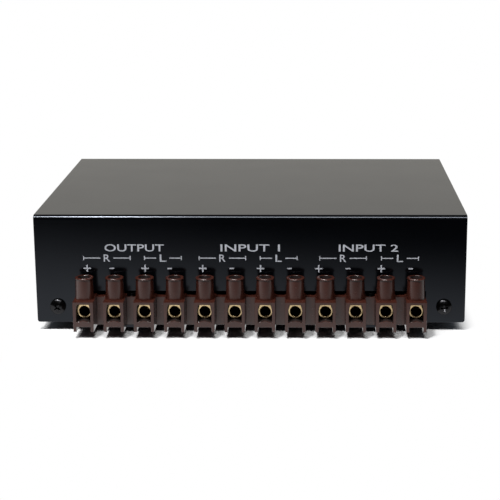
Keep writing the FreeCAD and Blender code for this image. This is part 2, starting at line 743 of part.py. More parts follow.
def make_strip_screws():
    """Two screws through the webs into the tray's tongues."""
    head_radius = (size.pole_pitch - size.pole_head) / 2 - size.strip_screw_play
    screws = []
    for x in (-strip_screw_x, strip_screw_x):
        shank = rod(size.strip_screw_radius, 0, 0, (-size.strip_screw_length, 0))
        head = rod(head_radius, 0, 0, (0, size.strip_screw_head))
        slot = box((-head_radius * 1.1, head_radius * 1.1), (-size.clamp_slot / 2, size.clamp_slot / 2),
                   (size.strip_screw_head / 2, size.strip_screw_head * 1.1))
        screws.append(place(cut(fuse(shank, head), slot), x, rear, web_top))
    node(group(*screws), "strip_screws")


# ---------------------------------------------------------------- rotary switch

def make_index_plate():
    """The switch's front plate, with ears for the spring, two stop pegs and a locating peg."""
    y = (plate_rear, plate_rear + size.plate_thick)
    plate = box((-size.plate_width / 2, size.plate_width / 2), y,
                (shaft_z - size.plate_height / 2, shaft_z + size.plate_height / 2))
    peg = rod(size.peg_radius, -size.peg_offset, (y[1], front - size.sheet * 0.2), shaft_z, "y")
    ear_y = (plate_rear - size.ear_depth, plate_rear)
    ear_top = shaft_z + size.spring_rise + size.ear_thick * 2
    ears = []
    for low in (-size.ear_offset - size.ear_thick, size.ear_offset):
        ears.append(box((low, low + size.ear_thick), ear_y,
                        (shaft_z + size.plate_height / 2 - size.ear_thick * 3, ear_top)))
    limit = math.radians(detent_step.value)
    lug_half = math.asin(size.stop_width.value / 2 / size.stop_orbit.value)
    peg_half = math.asin(size.stop_peg.value / size.stop_orbit.value)
    stop_angle = limit + lug_half + peg_half + math.radians(0.6)
    stops = [
        rod(size.stop_peg, size.stop_orbit * math.sin(way * stop_angle),
            (wheel_rear, plate_rear), shaft_z - size.stop_orbit * math.cos(stop_angle), "y")
        for way in (-1, 1)
    ]
    bush_hole = rod(size.bush_radius + size.thread_gap, 0, y, shaft_z, "y")
    spring_y = spring_span()
    slot = box((-size.ear_offset - size.ear_thick * 2, size.ear_offset + size.ear_thick * 2),
               (spring_y[0] - size.sheet_play, spring_y[1] + size.sheet_play),
               (shaft_z + size.spring_rise - size.sheet_play,
                shaft_z + size.spring_rise + size.spring_thick + size.sheet_play))
    tie_holes = [rod(size.tie_radius + size.thread_gap, way * tie_x, y, shaft_z, "y")
                 for way in (-1, 1)]
    node(cut(fuse(plate, peg, *ears, *stops), bush_hole, slot, *tie_holes), "index_plate")


def spring_span():
    """The detent spring's stretch along Y, over the middle of the wheel."""
    middle = (wheel_front + wheel_rear) / 2
    return (middle - size.spring_width / 2, middle + size.spring_width / 2)


def make_detent_spring():
    """A leaf spring whose nose sits in the wheel's top notch."""
    y = spring_span()
    reach = size.ear_offset + size.ear_thick + size.spring_thick
    leaf_z = shaft_z + size.spring_rise
    leaf = box((-reach, reach), y, (leaf_z, leaf_z + size.spring_thick))
    nose_radius = size.detent_radius - size.sheet_play * 2
    nose_z = shaft_z + size.detent_orbit
    nose = rod(nose_radius, 0, y, nose_z, "y")
    neck = box((-nose_radius, nose_radius), y, (nose_z, leaf_z + size.spring_thick))
    node(fuse(leaf, nose, neck), "detent_spring")


def make_bushing():
    """The threaded bush that the shaft turns in, with its flange behind the index plate."""
    flange_y = (plate_rear - size.flange_thick, plate_rear)
    flange = rod(size.bush_flange, 0, flange_y, shaft_z, "y")
    barrel = rod(size.bush_radius, 0, (flange_y[0], front + size.bush_reach), shaft_z, "y")
    bore = rod(size.shaft_radius + size.running_gap, 0,
               (flange_y[0], front + size.bush_reach), shaft_z, "y")
    node(cut(fuse(flange, barrel), bore), "switch_bushing")


def make_panel_fixings():
    """The washer and nut that hold the switch to the front panel."""
    washer = tube(size.washer_radius, size.bush_radius + size.hole_gap, 0,
                  (front, front + size.washer_thick), shaft_z)
    node(washer, "lock_washer")
    nut_y = (front + size.washer_thick, front + size.washer_thick + size.nut_thick)
    blank = doc.addObject("Part::Prism", "NutBlank")
    blank.Polygon = 6
    bind(blank, "Circumradius", size.nut_flats / math.sqrt(3))
    bind(blank, "Height", size.nut_thick)
    place(blank, 0, nut_y[0], shaft_z, ALONG["y"])
    node(cut(blank, rod(size.bush_radius + size.thread_gap, 0, nut_y, shaft_z, "y")), "panel_nut")


def make_shaft():
    """The shaft: a flat for the knob's grub screw, a clip groove and two driving flats."""
    bar = rod(size.shaft_radius, 0, (shaft_rear, shaft_front), shaft_z, "y")
    wide = size.shaft_radius * 1.1
    grub_y = shaft_front - size.grub_reach
    flat = box((-wide, wide), (grub_y - size.grub_radius * 1.5, shaft_front * 1.1),
               (shaft_z - wide, shaft_z - size.shaft_flat))
    blade_y = (shaft_rear - size.shaft_tail, wheel_rear - size.wheel_thick)
    half = size.shaft_blade / 2
    sides = [box(x, blade_y, (shaft_z - wide, shaft_z + wide))
             for x in ((-wide, -half), (half, wide))]
    clip_y = (front + size.bush_reach + size.sheet_play,
              front + size.bush_reach + size.sheet_play * 3 + size.clip_thick)
    groove = tube(wide, size.clip_groove, 0, clip_y, shaft_z)
    node(cut(bar, flat, groove, *sides), "switch_shaft")
    clip = tube(size.clip_radius, size.clip_groove + size.thread_gap, 0,
                (clip_y[0] + size.sheet_play, clip_y[1] - size.sheet_play), shaft_z)
    mouth = box((-size.clip_groove * 0.8, size.clip_groove * 0.8), clip_y,
                (shaft_z - size.clip_radius * 1.1, shaft_z))
    node(cut(clip, mouth), "shaft_clip")


def make_index_wheel():
    """The notched wheel on the shaft, with the lug that the stops catch."""
    body = new_body("IndexWheel")
    face = sketch(body, "XY_Plane")
    circle(face, 0, 0, size.wheel_radius)
    circle(face, 0, 0, size.shaft_radius + size.thread_gap)
    pad(body, face, size.wheel_thick)
    detent = sketch(body, "XY_Plane", size.wheel_thick)
    circle(detent, 0, -size.detent_orbit, size.detent_radius)
    first_detent = pocket(body, detent, size.wheel_thick * 2)
    ring_pattern(body, [first_detent], size.detent_count)
    doc.recompute()
    lug = sketch(body, "XY_Plane")
    rectangle(lug, (-size.stop_width / 2, size.stop_width / 2),
              (size.wheel_radius * 0.7, size.stop_reach))
    pad(body, lug, size.wheel_thick)
    node(place(body, 0, wheel_rear, shaft_z, ALONG["y"]), "index_wheel")


def make_knob():
    """The fluted knob, hollow over the nut, with its pointer inlay and grub screw."""
    height = size.knob_reach - size.knob_gap
    bore = size.shaft_radius + size.thread_gap
    bore_end = height - size.knob_end_wall
    body = new_body("Knob")
    section = sketch(body, "XZ_Plane")
    outline(section, [
        (0, bore_end), (bore, bore_end), (bore, size.knob_hollow_depth),
        (size.knob_hollow, size.knob_hollow_depth), (size.knob_hollow, 0),
        (size.knob_radius, 0), (size.knob_radius, size.knob_skirt),
        (size.knob_grip, size.knob_skirt + (size.knob_radius - size.knob_grip) / 2),
        (size.knob_grip, height - (size.knob_grip - size.knob_crown)),
        (size.knob_crown, height), (0, height),
    ])
    turned = body.newObject("PartDesign::Revolution", "Turned")
    turned.Profile = section
    turned.ReferenceAxis = (section, ["V_Axis"])
    turned.Angle = 360
    flute = sketch(body, "XY_Plane", height)
    circle(flute, size.knob_grip + size.flute_radius * 0.4, 0, size.flute_radius)
    first_flute = pocket(body, flute, height - size.knob_skirt - size.flute_radius * 2)
    ring_pattern(body, [first_flute], size.knob_flutes)
    line_half = size.pointer_width / 2
    line = (-size.knob_crown + size.flute_radius, -size.knob_crown / 4)
    groove = sketch(body, "XY_Plane", height)
    rectangle(groove, (-line_half, line_half), line)
    pocket(body, groove, size.pointer_depth)
    grub_rise = bore_end - size.sheet_play - size.grub_reach
    grub_hole = sketch(body, "XZ_Plane")
    circle(grub_hole, 0, grub_rise, size.grub_radius + size.thread_gap)
    pocket(body, grub_hole, size.knob_radius)
    node(place(body, 0, front + size.knob_gap, shaft_z, ALONG["y"]), "knob")

    inlay = box((-line_half, line_half), line, (height - size.pointer_depth, height))
    node(place(group(inlay), 0, front + size.knob_gap, shaft_z, ALONG["y"]), "knob_pointer")

    grub_y = front + size.knob_gap + grub_rise
    grub_top = shaft_z - size.shaft_flat
    socket_half = size.grub_radius * 0.45
    stud = rod(size.grub_radius, 0, grub_y, (grub_top - size.grub_length, grub_top))
    socket = box((-socket_half, socket_half), (grub_y - socket_half, grub_y + socket_half),
                 (grub_top - size.grub_length * 1.1, grub_top - size.grub_length * 0.7))
    node(cut(stud, socket), "knob_grub_screw")


# Lugs round a wafer, by the angle of each from +X towards +Z: first the common, then the three
# positions. The second pole is the first one turned half round.
COMMON_ANGLE = 90 + 2 * detent_step.value
POSITION_ANGLES = (90 + detent_step.value, 90, 90 - detent_step.value)
POLE_TURNS = (0, 180)
BLADE_MARGIN = 8  # degrees of blade past the tab


def at_angle(thing, angle, z=shaft_z):
    """Turns what points along +X round the shaft's axis, from +X towards +Z."""
    return place(group(thing), 0, 0, z, Rotation(Vector(0, 1, 0), -angle))


def make_stator(name, y):
    angles = [turn + angle for turn in POLE_TURNS for angle in (COMMON_ANGLE, *POSITION_ANGLES)]
    disc = rod(size.wafer_radius, 0, y, shaft_z, "y")
    ears = box((-size.plate_width / 2, size.plate_width / 2), y,
               (shaft_z - size.wafer_ear / 2, shaft_z + size.wafer_ear / 2))
    window = rod(size.rotor_radius, 0, y, shaft_z, "y")
    tie_holes = [rod(size.tie_radius + size.hole_gap, way * tie_x, y, shaft_z, "y")
                 for way in (-1, 1)]
    rivet_holes = [at_angle(rod(size.rivet_radius + size.thread_gap, size.rivet_orbit, y, 0, "y"),
                            angle) for angle in angles]
    node(cut(fuse(disc, ears), window, *tie_holes, *rivet_holes), f"{name}_stator")


def make_contacts(name, y):
    """Eight riveted clips on the wafer's rear face; the two commons reach further in."""
    clip_y = (y[0] - size.blade_thick, y[0])
    clips = []
    for turn in POLE_TURNS:
        for angle in (COMMON_ANGLE, *POSITION_ANGLES):
            inner = size.blade_inner if angle == COMMON_ANGLE else size.blade_outer
            strip = box((inner + size.blade_thick, size.clip_end), clip_y,
                        (-size.clip_width / 2, size.clip_width / 2))
            rivet = rod(size.rivet_radius, size.rivet_orbit, (clip_y[0], y[1]), 0, "y")
            hole = rod(size.core_radius + size.thread_gap, size.clip_hole, clip_y, 0, "y")
            clips.append(at_angle(cut(fuse(strip, rivet), hole), turn + angle))
    node(group(*clips), f"{name}_contacts")


def make_rotor(name, y):
    """The wafer's turning disc, driven by the shaft's flats, and the two blades set in it."""
    blade_y = (y[0] + size.sheet_play, y[0] + size.sheet_play + size.blade_thick)
    wheel = rod(size.rotor_radius - size.running_gap, 0, (blade_y[1], y[1]), shaft_z, "y")
    half = size.shaft_blade / 2 + size.thread_gap
    bore = common(rod(size.shaft_radius + size.thread_gap, 0, y, shaft_z, "y"),
                  box((-half, half), y, (shaft_z - size.shaft_radius * 2,
                                         shaft_z + size.shaft_radius * 2)))
    node(cut(wheel, bore), f"{name}_rotor")

    blades = []
    for turn in POLE_TURNS:
        tab_angle = turn + POSITION_ANGLES[1]
        wedge = doc.addObject("Part::Cylinder", "Wedge")
        bind(wedge, "Radius", size.blade_outer * 1.2)
        bind(wedge, "Height", size.blade_thick)
        wedge.Angle = COMMON_ANGLE - POSITION_ANGLES[1] + 2 * detent_step.value
        wedge_start = Rotation(Vector(0, 1, 0), BLADE_MARGIN - tab_angle)
        place(wedge, 0, blade_y[1], 0, wedge_start.multiply(ALONG["-y"]))
        arc = common(tube(size.blade_outer, size.blade_inner, 0, blade_y, 0), wedge)
        tab = box((size.blade_inner * 1.1, size.blade_tab), blade_y,
                  (-size.blade_tab_width / 2, size.blade_tab_width / 2))
        blades.append(place(fuse(arc, at_angle(tab, tab_angle, 0)), 0, 0, shaft_z))
    node(group(*blades), f"{name}_blades")


def make_wafers():
    """Two switch wafers: the rear one for the right channel, the front one for the left."""
    for name, face in (("rear_wafer", rear_wafer), ("front_wafer", front_wafer)):
        y = (face - size.wafer_thick, face)
        make_stator(name, y)
        make_contacts(name, y)
        make_rotor(name, y)


def make_tie_screws():
    """Two screws through the wafers into the index plate, and the spacers on them."""
    stack_rear = rear_wafer - size.wafer_thick
    screws = []
    spacers = []
    for way in (-1, 1):
        x = way * tie_x
        shank = rod(size.tie_radius, x, (stack_rear, plate_rear + size.plate_thick * 0.9),
                    shaft_z, "y")
        head = rod(size.tie_head_radius, x, (stack_rear - size.tie_head, stack_rear), shaft_z, "y")
        slot = box((x - size.tie_head_radius * 1.1, x + size.tie_head_radius * 1.1),
                   (stack_rear - size.tie_head * 1.1, stack_rear - size.tie_head / 2),
                   (shaft_z - size.clamp_slot / 2, shaft_z + size.clamp_slot / 2))
        screws.append(cut(fuse(shank, head), slot))
        for y in ((rear_wafer, front_wafer - size.wafer_thick), (front_wafer, plate_rear)):
            spacers.append(tube(size.tie_spacer, size.tie_radius + size.hole_gap, x, y, shaft_z))
    node(group(*screws), "tie_screws")
    node(group(*spacers), "wafer_spacers")


# ---------------------------------------------------------------- wiring

# For each pair of terminals, from the left: the node's name, the wafer, and the lug's place among
# (common, position 1, off, position 2). A pair's first wire goes to the first pole, its second
# wire to the second pole.
PAIRS = (
    ("wires_output_right", "rear", 0), ("wires_output_left", "front", 0),
    ("wires_input_1_right", "rear", 1), ("wires_input_1_left", "front", 1),
    ("wires_input_2_right", "rear", 3), ("wires_input_2_left", "front", 3),
)

# Each wire crosses the case in a lane of its own: where the lane starts and ends, inward from the
# rear panel, and its height above the case's bottom.
LANES = (
    (27, 68, 18), (36, 72, 2.7), (30, 74, 37.5), (28, 72, 2.7), (30, 66, 27), (28, 50, 5.9),
    (30, 52, 25.5), (48, 70, 6.1), (34, 66, 13.5), (30, 72, 12.7), (24, 60, 31.5), (28, 54, 9.4),
)
FIRST_BEND = (16, 18)  # of a pair's first and second wire, inward from the rear panel
CLIMB = 9              # a second wire's climb from its lane to its lug's height, along Y


def route(points):
    """Straight runs through the points, with an arc at each corner."""
    corners = [Vector(*[as_size(v).value for v in point]) for point in points]
    runs = [(b - a).Length for a, b in zip(corners, corners[1:])]
    shares = [runs[0] * 2, *runs[1:-1], runs[-1] * 2]  # an end run holds one arc only
    edges = []
    start = corners[0]
    for i in range(1, len(corners) - 1):
        before = (corners[i] - corners[i - 1]).normalize()
        after = (corners[i + 1] - corners[i]).normalize()
        half_turn = before.getAngle(after) / 2
        radius = min(0.45 * min(shares[i - 1], shares[i]) / math.tan(half_turn),
                     size.wire_bend.value)
        cut_back = radius * math.tan(half_turn)
        arc_start, arc_end = corners[i] - before * cut_back, corners[i] + after * cut_back
        inwards = (after - before).normalize()
        centre = corners[i] + inwards * (radius / math.cos(half_turn))
        edges.append(Part.LineSegment(start, arc_start).toShape())
        edges.append(Part.Arc(arc_start, centre - inwards * radius, arc_end).toShape())
        start = arc_end
    edges.append(Part.LineSegment(start, corners[-1]).toShape())
    return Part.Wire(edges)


def wire_points(index, wafer, lug_angle):
    """A wire's corners from its terminal to the place behind its lug."""
    x = pole_x(index)
    start, end, height = LANES[index]
    second = index % 2
    lane_z = ground + height
    face = (rear_wafer if wafer == "rear" else front_wafer) - size.wafer_thick
    orbit = size.clip_hole if wafer == "rear" else size.bypass_orbit

    def at(orbit):
        turn = math.radians(lug_angle)
        return orbit * math.cos(turn), shaft_z + orbit * math.sin(turn)

    near_x, near_z = at(orbit)
    lug_x, lug_z = at(size.clip_hole)
    points = [(x, rear + size.strip_reach, core_z), (x, rear + FIRST_BEND[second], core_z),
              (x, rear + start, lane_z)]
    if second:
        points += [(near_x, rear + end, lane_z), (near_x, rear + end + CLIMB, near_z)]
    else:
        points.append((near_x, rear + end, near_z))
    if wafer == "front":
        points += [(near_x, rear_wafer + size.jacket_radius, near_z),
                   (lug_x, face - size.blade_thick - size.core_tail * 2, lug_z)]
    points.append((lug_x, face - size.blade_thick - size.core_tail, lug_z))
    return points


def make_wire(index, wafer, lug_angle):
    """One wire: its jacket along the route, and bare core at both ends."""
    points = wire_points(index, wafer, lug_angle)
    path = doc.addObject("Part::Feature", "Route")
    path.Shape = route(points)
    ring = doc.addObject("Part::Circle", "Section")
    bind(ring, "Radius", size.jacket_radius)
    place(ring, *points[0], ALONG["y"])
    jacket = doc.addObject("Part::Sweep", "Jacket")
    jacket.Sections = [ring]
    jacket.Spine = (path, [f"Edge{i}" for i in range(1, len(path.Shape.Edges) + 1)])
    jacket.Solid = True
    doc.recompute()
    expected = math.pi * size.jacket_radius.value ** 2 * path.Shape.Length
    if abs(jacket.Shape.Volume / expected - 1) > 0.01:
        raise RuntimeError(f"wire {index + 1}: its volume isn't its section times its length")

    first, last = points[0], points[-1]
    held = rod(size.core_radius, first[0], (rear + sleeve_half - size.core_entry,
                                            first[1] + size.core_tail), first[2], "y")
    tail_end = last[1] + size.core_tail * 2 + size.blade_thick
    tail = rod(size.core_radius, last[0], (last[1] - size.core_tail, tail_end), last[2], "y")
    return fuse(held, jacket, tail, name="Wire")


def make_wiring():
    """Six pairs of wires from the terminals' inner ends to the wafers' lugs."""
    lugs = (COMMON_ANGLE, *POSITION_ANGLES)
    for number, (name, wafer, lug) in enumerate(PAIRS):
        node(group(*[make_wire(number * 2 + pole, wafer, turn + lugs[lug])
                     for pole, turn in enumerate(POLE_TURNS)]), name)


# ---------------------------------------------------------------- build, check, export

def write_parts():
    doc.recompute()
    for thing in doc.Objects:
        if {"Invalid", "Error"} & set(thing.State):
            raise RuntimeError(f"{thing.Name} failed: {thing.State}")
    for thing in nodes:
        if thing.Shape.isNull() or not thing.Shape.isValid():
            raise RuntimeError(f"{thing.Label} has no valid shape")
    os.makedirs("parts", exist_ok=True)
    for thing in nodes:
        thing.Shape.exportStep(f"parts/{thing.Label}.step")
        print(f"{thing.Label}: {len(thing.Shape.Solids)} solid(s), {thing.Shape.Volume:.1f} mm3")


make_cover()
make_base_tray()
make_feet()
make_case_screws()
make_terminal_strip()
make_terminal_sleeves()
make_clamp_screws()
make_strip_screws()
make_index_plate()
make_detent_spring()
make_bushing()
make_panel_fixings()
make_shaft()
make_index_wheel()
make_knob()
make_wafers()
make_tie_screws()
make_wiring()
write_parts()
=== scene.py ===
"""Looks of the speaker selector: folded case, terminal strip, knob and their finishes.

Every length is in metres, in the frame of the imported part: +X to the right seen from the
terminals, +Y from the terminals to the knob, +Z up, with the ground at zero.
"""
import math

import bmesh
import bpy
from bpy.props import FloatProperty, FloatVectorProperty, IntProperty, PointerProperty, StringProperty
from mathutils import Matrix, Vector


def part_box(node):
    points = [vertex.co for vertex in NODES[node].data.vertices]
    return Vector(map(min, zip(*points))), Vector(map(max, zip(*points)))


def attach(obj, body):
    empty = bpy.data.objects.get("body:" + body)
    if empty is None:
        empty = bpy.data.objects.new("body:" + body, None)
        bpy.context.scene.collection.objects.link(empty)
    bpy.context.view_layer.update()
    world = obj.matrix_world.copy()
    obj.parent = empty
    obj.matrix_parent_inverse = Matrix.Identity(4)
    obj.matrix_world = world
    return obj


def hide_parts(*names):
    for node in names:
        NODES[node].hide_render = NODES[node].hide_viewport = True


bl_info = {
    "name": "Speaker Selector",
    "version": (1, 0, 0),
    "blender": (4, 5, 0),
    "location": "View3D > Sidebar > Selector",
    "description": "Models and finishes a speaker selector switch around its packed frame",
    "category": "Object",
}

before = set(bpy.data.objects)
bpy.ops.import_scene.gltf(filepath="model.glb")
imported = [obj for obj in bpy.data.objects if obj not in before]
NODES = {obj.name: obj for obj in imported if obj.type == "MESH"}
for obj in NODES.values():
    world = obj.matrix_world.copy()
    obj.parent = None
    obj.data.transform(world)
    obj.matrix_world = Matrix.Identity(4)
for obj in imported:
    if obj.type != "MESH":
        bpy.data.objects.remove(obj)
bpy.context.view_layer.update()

MM = 0.001
MICRON = 0.000001
CASE = "case"
SELECTOR = "selector"
COVER_LOW, COVER_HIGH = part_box("cover")
TRAY_LOW, TRAY_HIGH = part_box("base_tray")
STRIP_LOW, STRIP_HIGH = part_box("terminal_strip")
STRIP_MIDDLE = (STRIP_LOW.y + STRIP_HIGH.y) / 2
SLEEVES_LOW, SLEEVES_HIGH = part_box("terminal_sleeves")
KNOB_LOW, KNOB_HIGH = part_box("knob")
KNOB_HEIGHT = KNOB_HIGH.y - KNOB_LOW.y
SHAFT_AXIS = Vector(((KNOB_LOW.x + KNOB_HIGH.x) / 2, 0, (KNOB_LOW.z + KNOB_HIGH.z) / 2))
CLAMP_SCREWS = sorted(name for name in NODES if name.startswith("clamp_screw_"))
CASE_SCREWS = sorted(name for name in NODES if name.startswith("case_screw_"))
FEET = sorted(name for name in NODES if name.startswith("foot_"))

# How far each case screw's cross and the clamp screws' slots are turned, in degrees.
CROSS_TURNS = {"case_screw_rear_left": 45, "case_screw_rear_right": 4,
               "case_screw_front_left": 20, "case_screw_front_right": 70}
FIRST_SLOT_TURN = 20
NEXT_SLOT_TURN = 67


# ---------------------------------------------------------------- sizes and colours

def length(name, millimetres, description):
    """A length, given in millimetres and kept in metres."""
    return FloatProperty(name=name, description=description, default=millimetres * MM,
                         min=0.0, unit="LENGTH", precision=5)


def lengths(name, metres, description):
    """The two sides of something flat."""
    return FloatVectorProperty(name=name, description=description, default=metres, size=2,
                               min=0.0, unit="LENGTH")


def position(name, metres, description):
    """A place of a light or the camera."""
    return FloatVectorProperty(name=name, description=description, default=metres,
                               subtype="TRANSLATION")


def angle(name, degrees, description):
    """An angle, given in degrees and kept in radians."""
    return FloatProperty(name=name, description=description, default=math.radians(degrees),
                         subtype="ANGLE")


def colour(name, value, description):
    """A colour in linear red, green and blue."""
    return FloatVectorProperty(name=name, description=description, default=value, size=3,
                               min=0.0, max=1.0, subtype="COLOR")


def share(name, value, description):
    """A number from 0 to 1."""
    return FloatProperty(name=name, description=description, default=value, min=0.0, max=1.0,
                         subtype="FACTOR")


def power(name, watts, description):
    """A light's power."""
    return FloatProperty(name=name, description=description, default=watts, min=0.0, unit="POWER")


def count(name, value, least, description):
    """A whole number that isn't below the least."""
    return IntProperty(name=name, description=description, default=value, min=least)


def words(name, value, description):
    """Words to print."""
    return StringProperty(name=name, description=description, default=value)


class CaseSizes(bpy.types.PropertyGroup):
    sheet: length("Sheet", 1.0, "Thickness of the steel sheet")
    bend: length("Bend", 1.8, "Outside radius of the folds")
    corner: length("Corner", 1.0, "Radius of the panels' lower corners")
    edge: length("Edge", 0.14, "Rounding that the paint gives every sheet edge")
    notch_top: length("Notch top", 12.9, "Top of the notch over the terminals, above the bottom")
    notch_gap: length("Notch gap", 0.4, "Gap between the notch and the strip's ends")
    screw_hole: length("Screw hole", 1.7, "Radius of a case screw's hole")
    bush_hole: length("Bush hole", 4.95, "Radius of the switch's hole")
    peg_hole: length("Peg hole", 1.6, "Radius of the hole for the switch's peg")
    peg_offset: length("Peg offset", 11.5, "Switch's peg from the shaft's axis")
    head_radius: length("Head radius", 3.1, "Case screw's head")
    head_height: length("Head height", 2.1, "Case screw's head")
    head_dome: length("Head dome", 4.6, "Radius of the head's dome")
    head_rim: length("Head rim", 0.12, "Rounding of the head's rim")
    head_edge: length("Head edge", 0.07, "Rounding of the recess in the head")
    tab_gap: length("Tab gap", 0.2, "Screw tab's end from the strip's notch")
    tab_height: length("Tab height", 13.0, "Screw tab's top above the case's bottom")
    tab_hole: length("Tab hole", 1.53, "Radius of a screw tab's hole")
    tongue_width: length("Tongue width", 9.0, "Tray's tongue under the strip")
    tongue_lap: length("Tongue lap", 5.0, "Tongue's lap under the tray's floor")
    foot_rounding: length("Foot rounding", 1.3, "Rounding of a foot's lower edge")
    foot_rim: length("Foot rim", 0.2, "Chamfer of a foot's upper edge")
    foot_hollow: length("Foot hollow", 0.35, "Depth of the hollow under a foot")
    foot_flat: length("Foot flat", 0.8, "Radius of the flat in the middle of that hollow")


class StripSizes(bpy.types.PropertyGroup):
    poles: count("Terminals", 12, 4, "Terminals in the strip")
    pitch: length("Pitch", 11.8, "Terminal to terminal")
    foot: length("Foot width", 7.95, "Terminal's width at its feet")
    head: length("Head width", 8.05, "Terminal's width at its top")
    height: length("Height", 12.1, "Terminal's box, feet included")
    leg: length("Leg", 1.95, "Legs under the crossbar")
    crossbar: length("Crossbar", 1.9, "Bar under the tunnel")
    ridge: length("Ridge", 0.85, "Ridge along the crossbar")
    tunnel: length("Tunnel", 5.5, "Tunnel for the sleeve, its width")
    tunnel_head: length("Tunnel head", 4.6, "Tunnel's width at its roof")
    tunnel_taper: length("Tunnel taper", 0.6, "Where the tunnel narrows, over the wire entry's axis")
    roof: length("Roof", 1.1, "Roof over the tunnel")
    web: length("Web", 4.0, "Webs between terminals, front to back")
    web_drop: length("Web drop", 0.55, "Webs' top below the terminals' top")
    web_bite: length("Web bite", 0.5, "Web's end inside the terminal's wall")
    guide: length("Guide", 3.4, "Screwdriver guide, outside radius under its rim")
    guide_foot: length("Guide foot", 3.7, "Screwdriver guide, outside radius at its foot")
    guide_bore: length("Guide bore", 2.5, "Screwdriver guide, inside radius")
    guide_offset: length("Guide offset", 5.6, "Guide's axis from the strip's middle")
    lip: length("Lip", 0.2, "Rim of the guide, past its wall")
    lip_height: length("Lip height", 0.7, "Rim of the guide")
    edge: length("Edge", 0.16, "Rounding of the moulding's edges")
    entry_rise: length("Entry rise", 7.45, "Wire entry's axis above the feet")
    entry: length("Entry", 1.9, "Wire entry's radius")
    entry_chamfer: length("Entry chamfer", 0.4, "Chamfer of the wire entry's mouth")
    sleeve_wall: length("Sleeve wall", 0.8, "Brass sleeve's wall")
    sleeve_head: length("Sleeve head", 3.4, "Brass sleeve's width at its flat top")
    sleeve_stop: length("Sleeve stop", 1.0, "Solid middle between the two wire entries")
    collar: length("Collar", 2.35, "Sleeve's threaded collar")
    clamp: length("Clamp screw", 1.75, "Clamp screw's thread radius")
    clamp_head: length("Clamp head", 2.25, "Clamp screw's head radius")
    clamp_head_height: length("Clamp head height", 1.8, "Clamp screw's head")
    slot: length("Slot", 0.7, "Width of the screws' slots")
    thread: length("Thread", 0.5, "Pitch of the screws' threads")
    thread_play: length("Thread play", 0.02, "Clamp screw's thread inside its collar")
    fixing: length("Fixing screw", 1.0, "Strip's fixing screw, thread radius")
    fixing_hole: length("Fixing hole", 1.2, "Hole for the strip's fixing screw")
    fixing_play: length("Fixing play", 0.1, "Fixing screw's head from the terminals beside it")
    fixing_head_height: length("Fixing head height", 1.3, "Fixing screw's head")


class KnobSizes(bpy.types.PropertyGroup):
    skirt: length("Skirt", 13.0, "Knob's skirt radius")
    skirt_height: length("Skirt height", 2.4, "Knob's skirt")
    grip: length("Grip", 11.4, "Knob's grip radius")
    crown: length("Crown", 10.4, "Knob's face radius")
    hollow: length("Hollow", 9.4, "Hollow over the nut, its radius")
    hollow_depth: length("Hollow depth", 7.2, "Hollow over the nut")
    bore: length("Bore", 3.03, "Bore for the shaft")
    end_wall: length("End wall", 2.5, "Knob's face over the shaft's end")
    flutes: count("Flutes", 24, 3, "Grooves round the grip")
    flute: length("Flute", 0.8, "Groove round the grip, its radius")
    pointer: length("Pointer", 1.3, "Width of the pointer line")
    pointer_depth: length("Pointer depth", 0.5, "Depth of the pointer's groove")
    inlay_sink: length("Inlay sink", 0.05, "Pointer's paint below the knob's face")
    edge: length("Edge", 0.25, "Rounding of the knob's edges")
    grub: length("Grub hole", 1.53, "Grub screw's hole, its radius")
    grub_reach: length("Grub reach", 3.65, "Grub screw's axis behind the end wall")
    bush: length("Bush", 4.78, "Nut's thread, its radius")
    washer_teeth: count("Washer teeth", 18, 3, "Gaps between the washer's teeth")


class LegendSizes(bpy.types.PropertyGroup):
    cap: length("Capitals", 2.9, "Height of the capitals")
    ink: length("Ink", 0.03, "Thickness of the printed ink")
    heading_z: length("Headings", 30.45, "Middle of the headings above the case's bottom")
    heading_width: length("Heading width", 23.4, "Headings' width")
    channel_z: length("Channels", 26.3, "Middle of the channels' marks above the case's bottom")
    right_width: length("Right width", 18.7, "Width of the right channel's mark")
    left_width: length("Left width", 14.9, "Width of the left channel's mark")
    letter_width: length("Letter width", 2.5, "Width of the letter in a channel's mark")
    letter_room: length("Letter room", 2.6, "Start of a mark's lines from its middle")
    tick: length("Tick", 1.7, "Height of the ticks at the lines' ends")
    line: length("Line", 0.38, "Thickness of a mark's lines")
    sign_z: length("Signs", 22.1, "Middle of the signs above the case's bottom")
    plus: length("Plus", 2.95, "Width and height of the plus signs")
    minus: length("Minus", 1.85, "Width of the minus signs")
    stroke: length("Stroke", 0.5, "Height of the minus signs")
    dial_radius: length("Dial radius", 17.5, "Numbers' middles from the knob's axis")
    step: angle("Step", 30, "Turn between two positions of the knob")
    output: words("Output", "OUTPUT", "Heading over the first four terminals")
    first: words("First input", "INPUT 1", "Heading over the next four terminals")
    second: words("Second input", "INPUT 2", "Heading over the last four terminals")


# Middles of the printed words along the rear panel, in millimetres from the case's middle.
HEADING_X = (-45.71, -0.10, 46.41)
RIGHT_X = (-56.59, -11.08, 36.44)
LEFT_X = (-34.52, 11.07, 58.84)
PLUS_X = (-64.50, -41.64, -18.88, 3.93, 26.86, 51.50)
MINUS_X = (-54.77, -31.99, -7.46, 15.35, 38.36, 63.13)
# The dial's numbers, each with its steps from upright and its width as a share of its height.
DIAL = (("2", 1, 0.66), ("0", 0, 0.72), ("1", -1, 0.4))
# Share of the ink's thickness that is inside the coat under it.
INK_SUNK = 0.1
# How much bolder than the plain font the letters and the plus signs are printed.
LETTER_WEIGHT = 0.008
PLUS_WEIGHT = 0.006


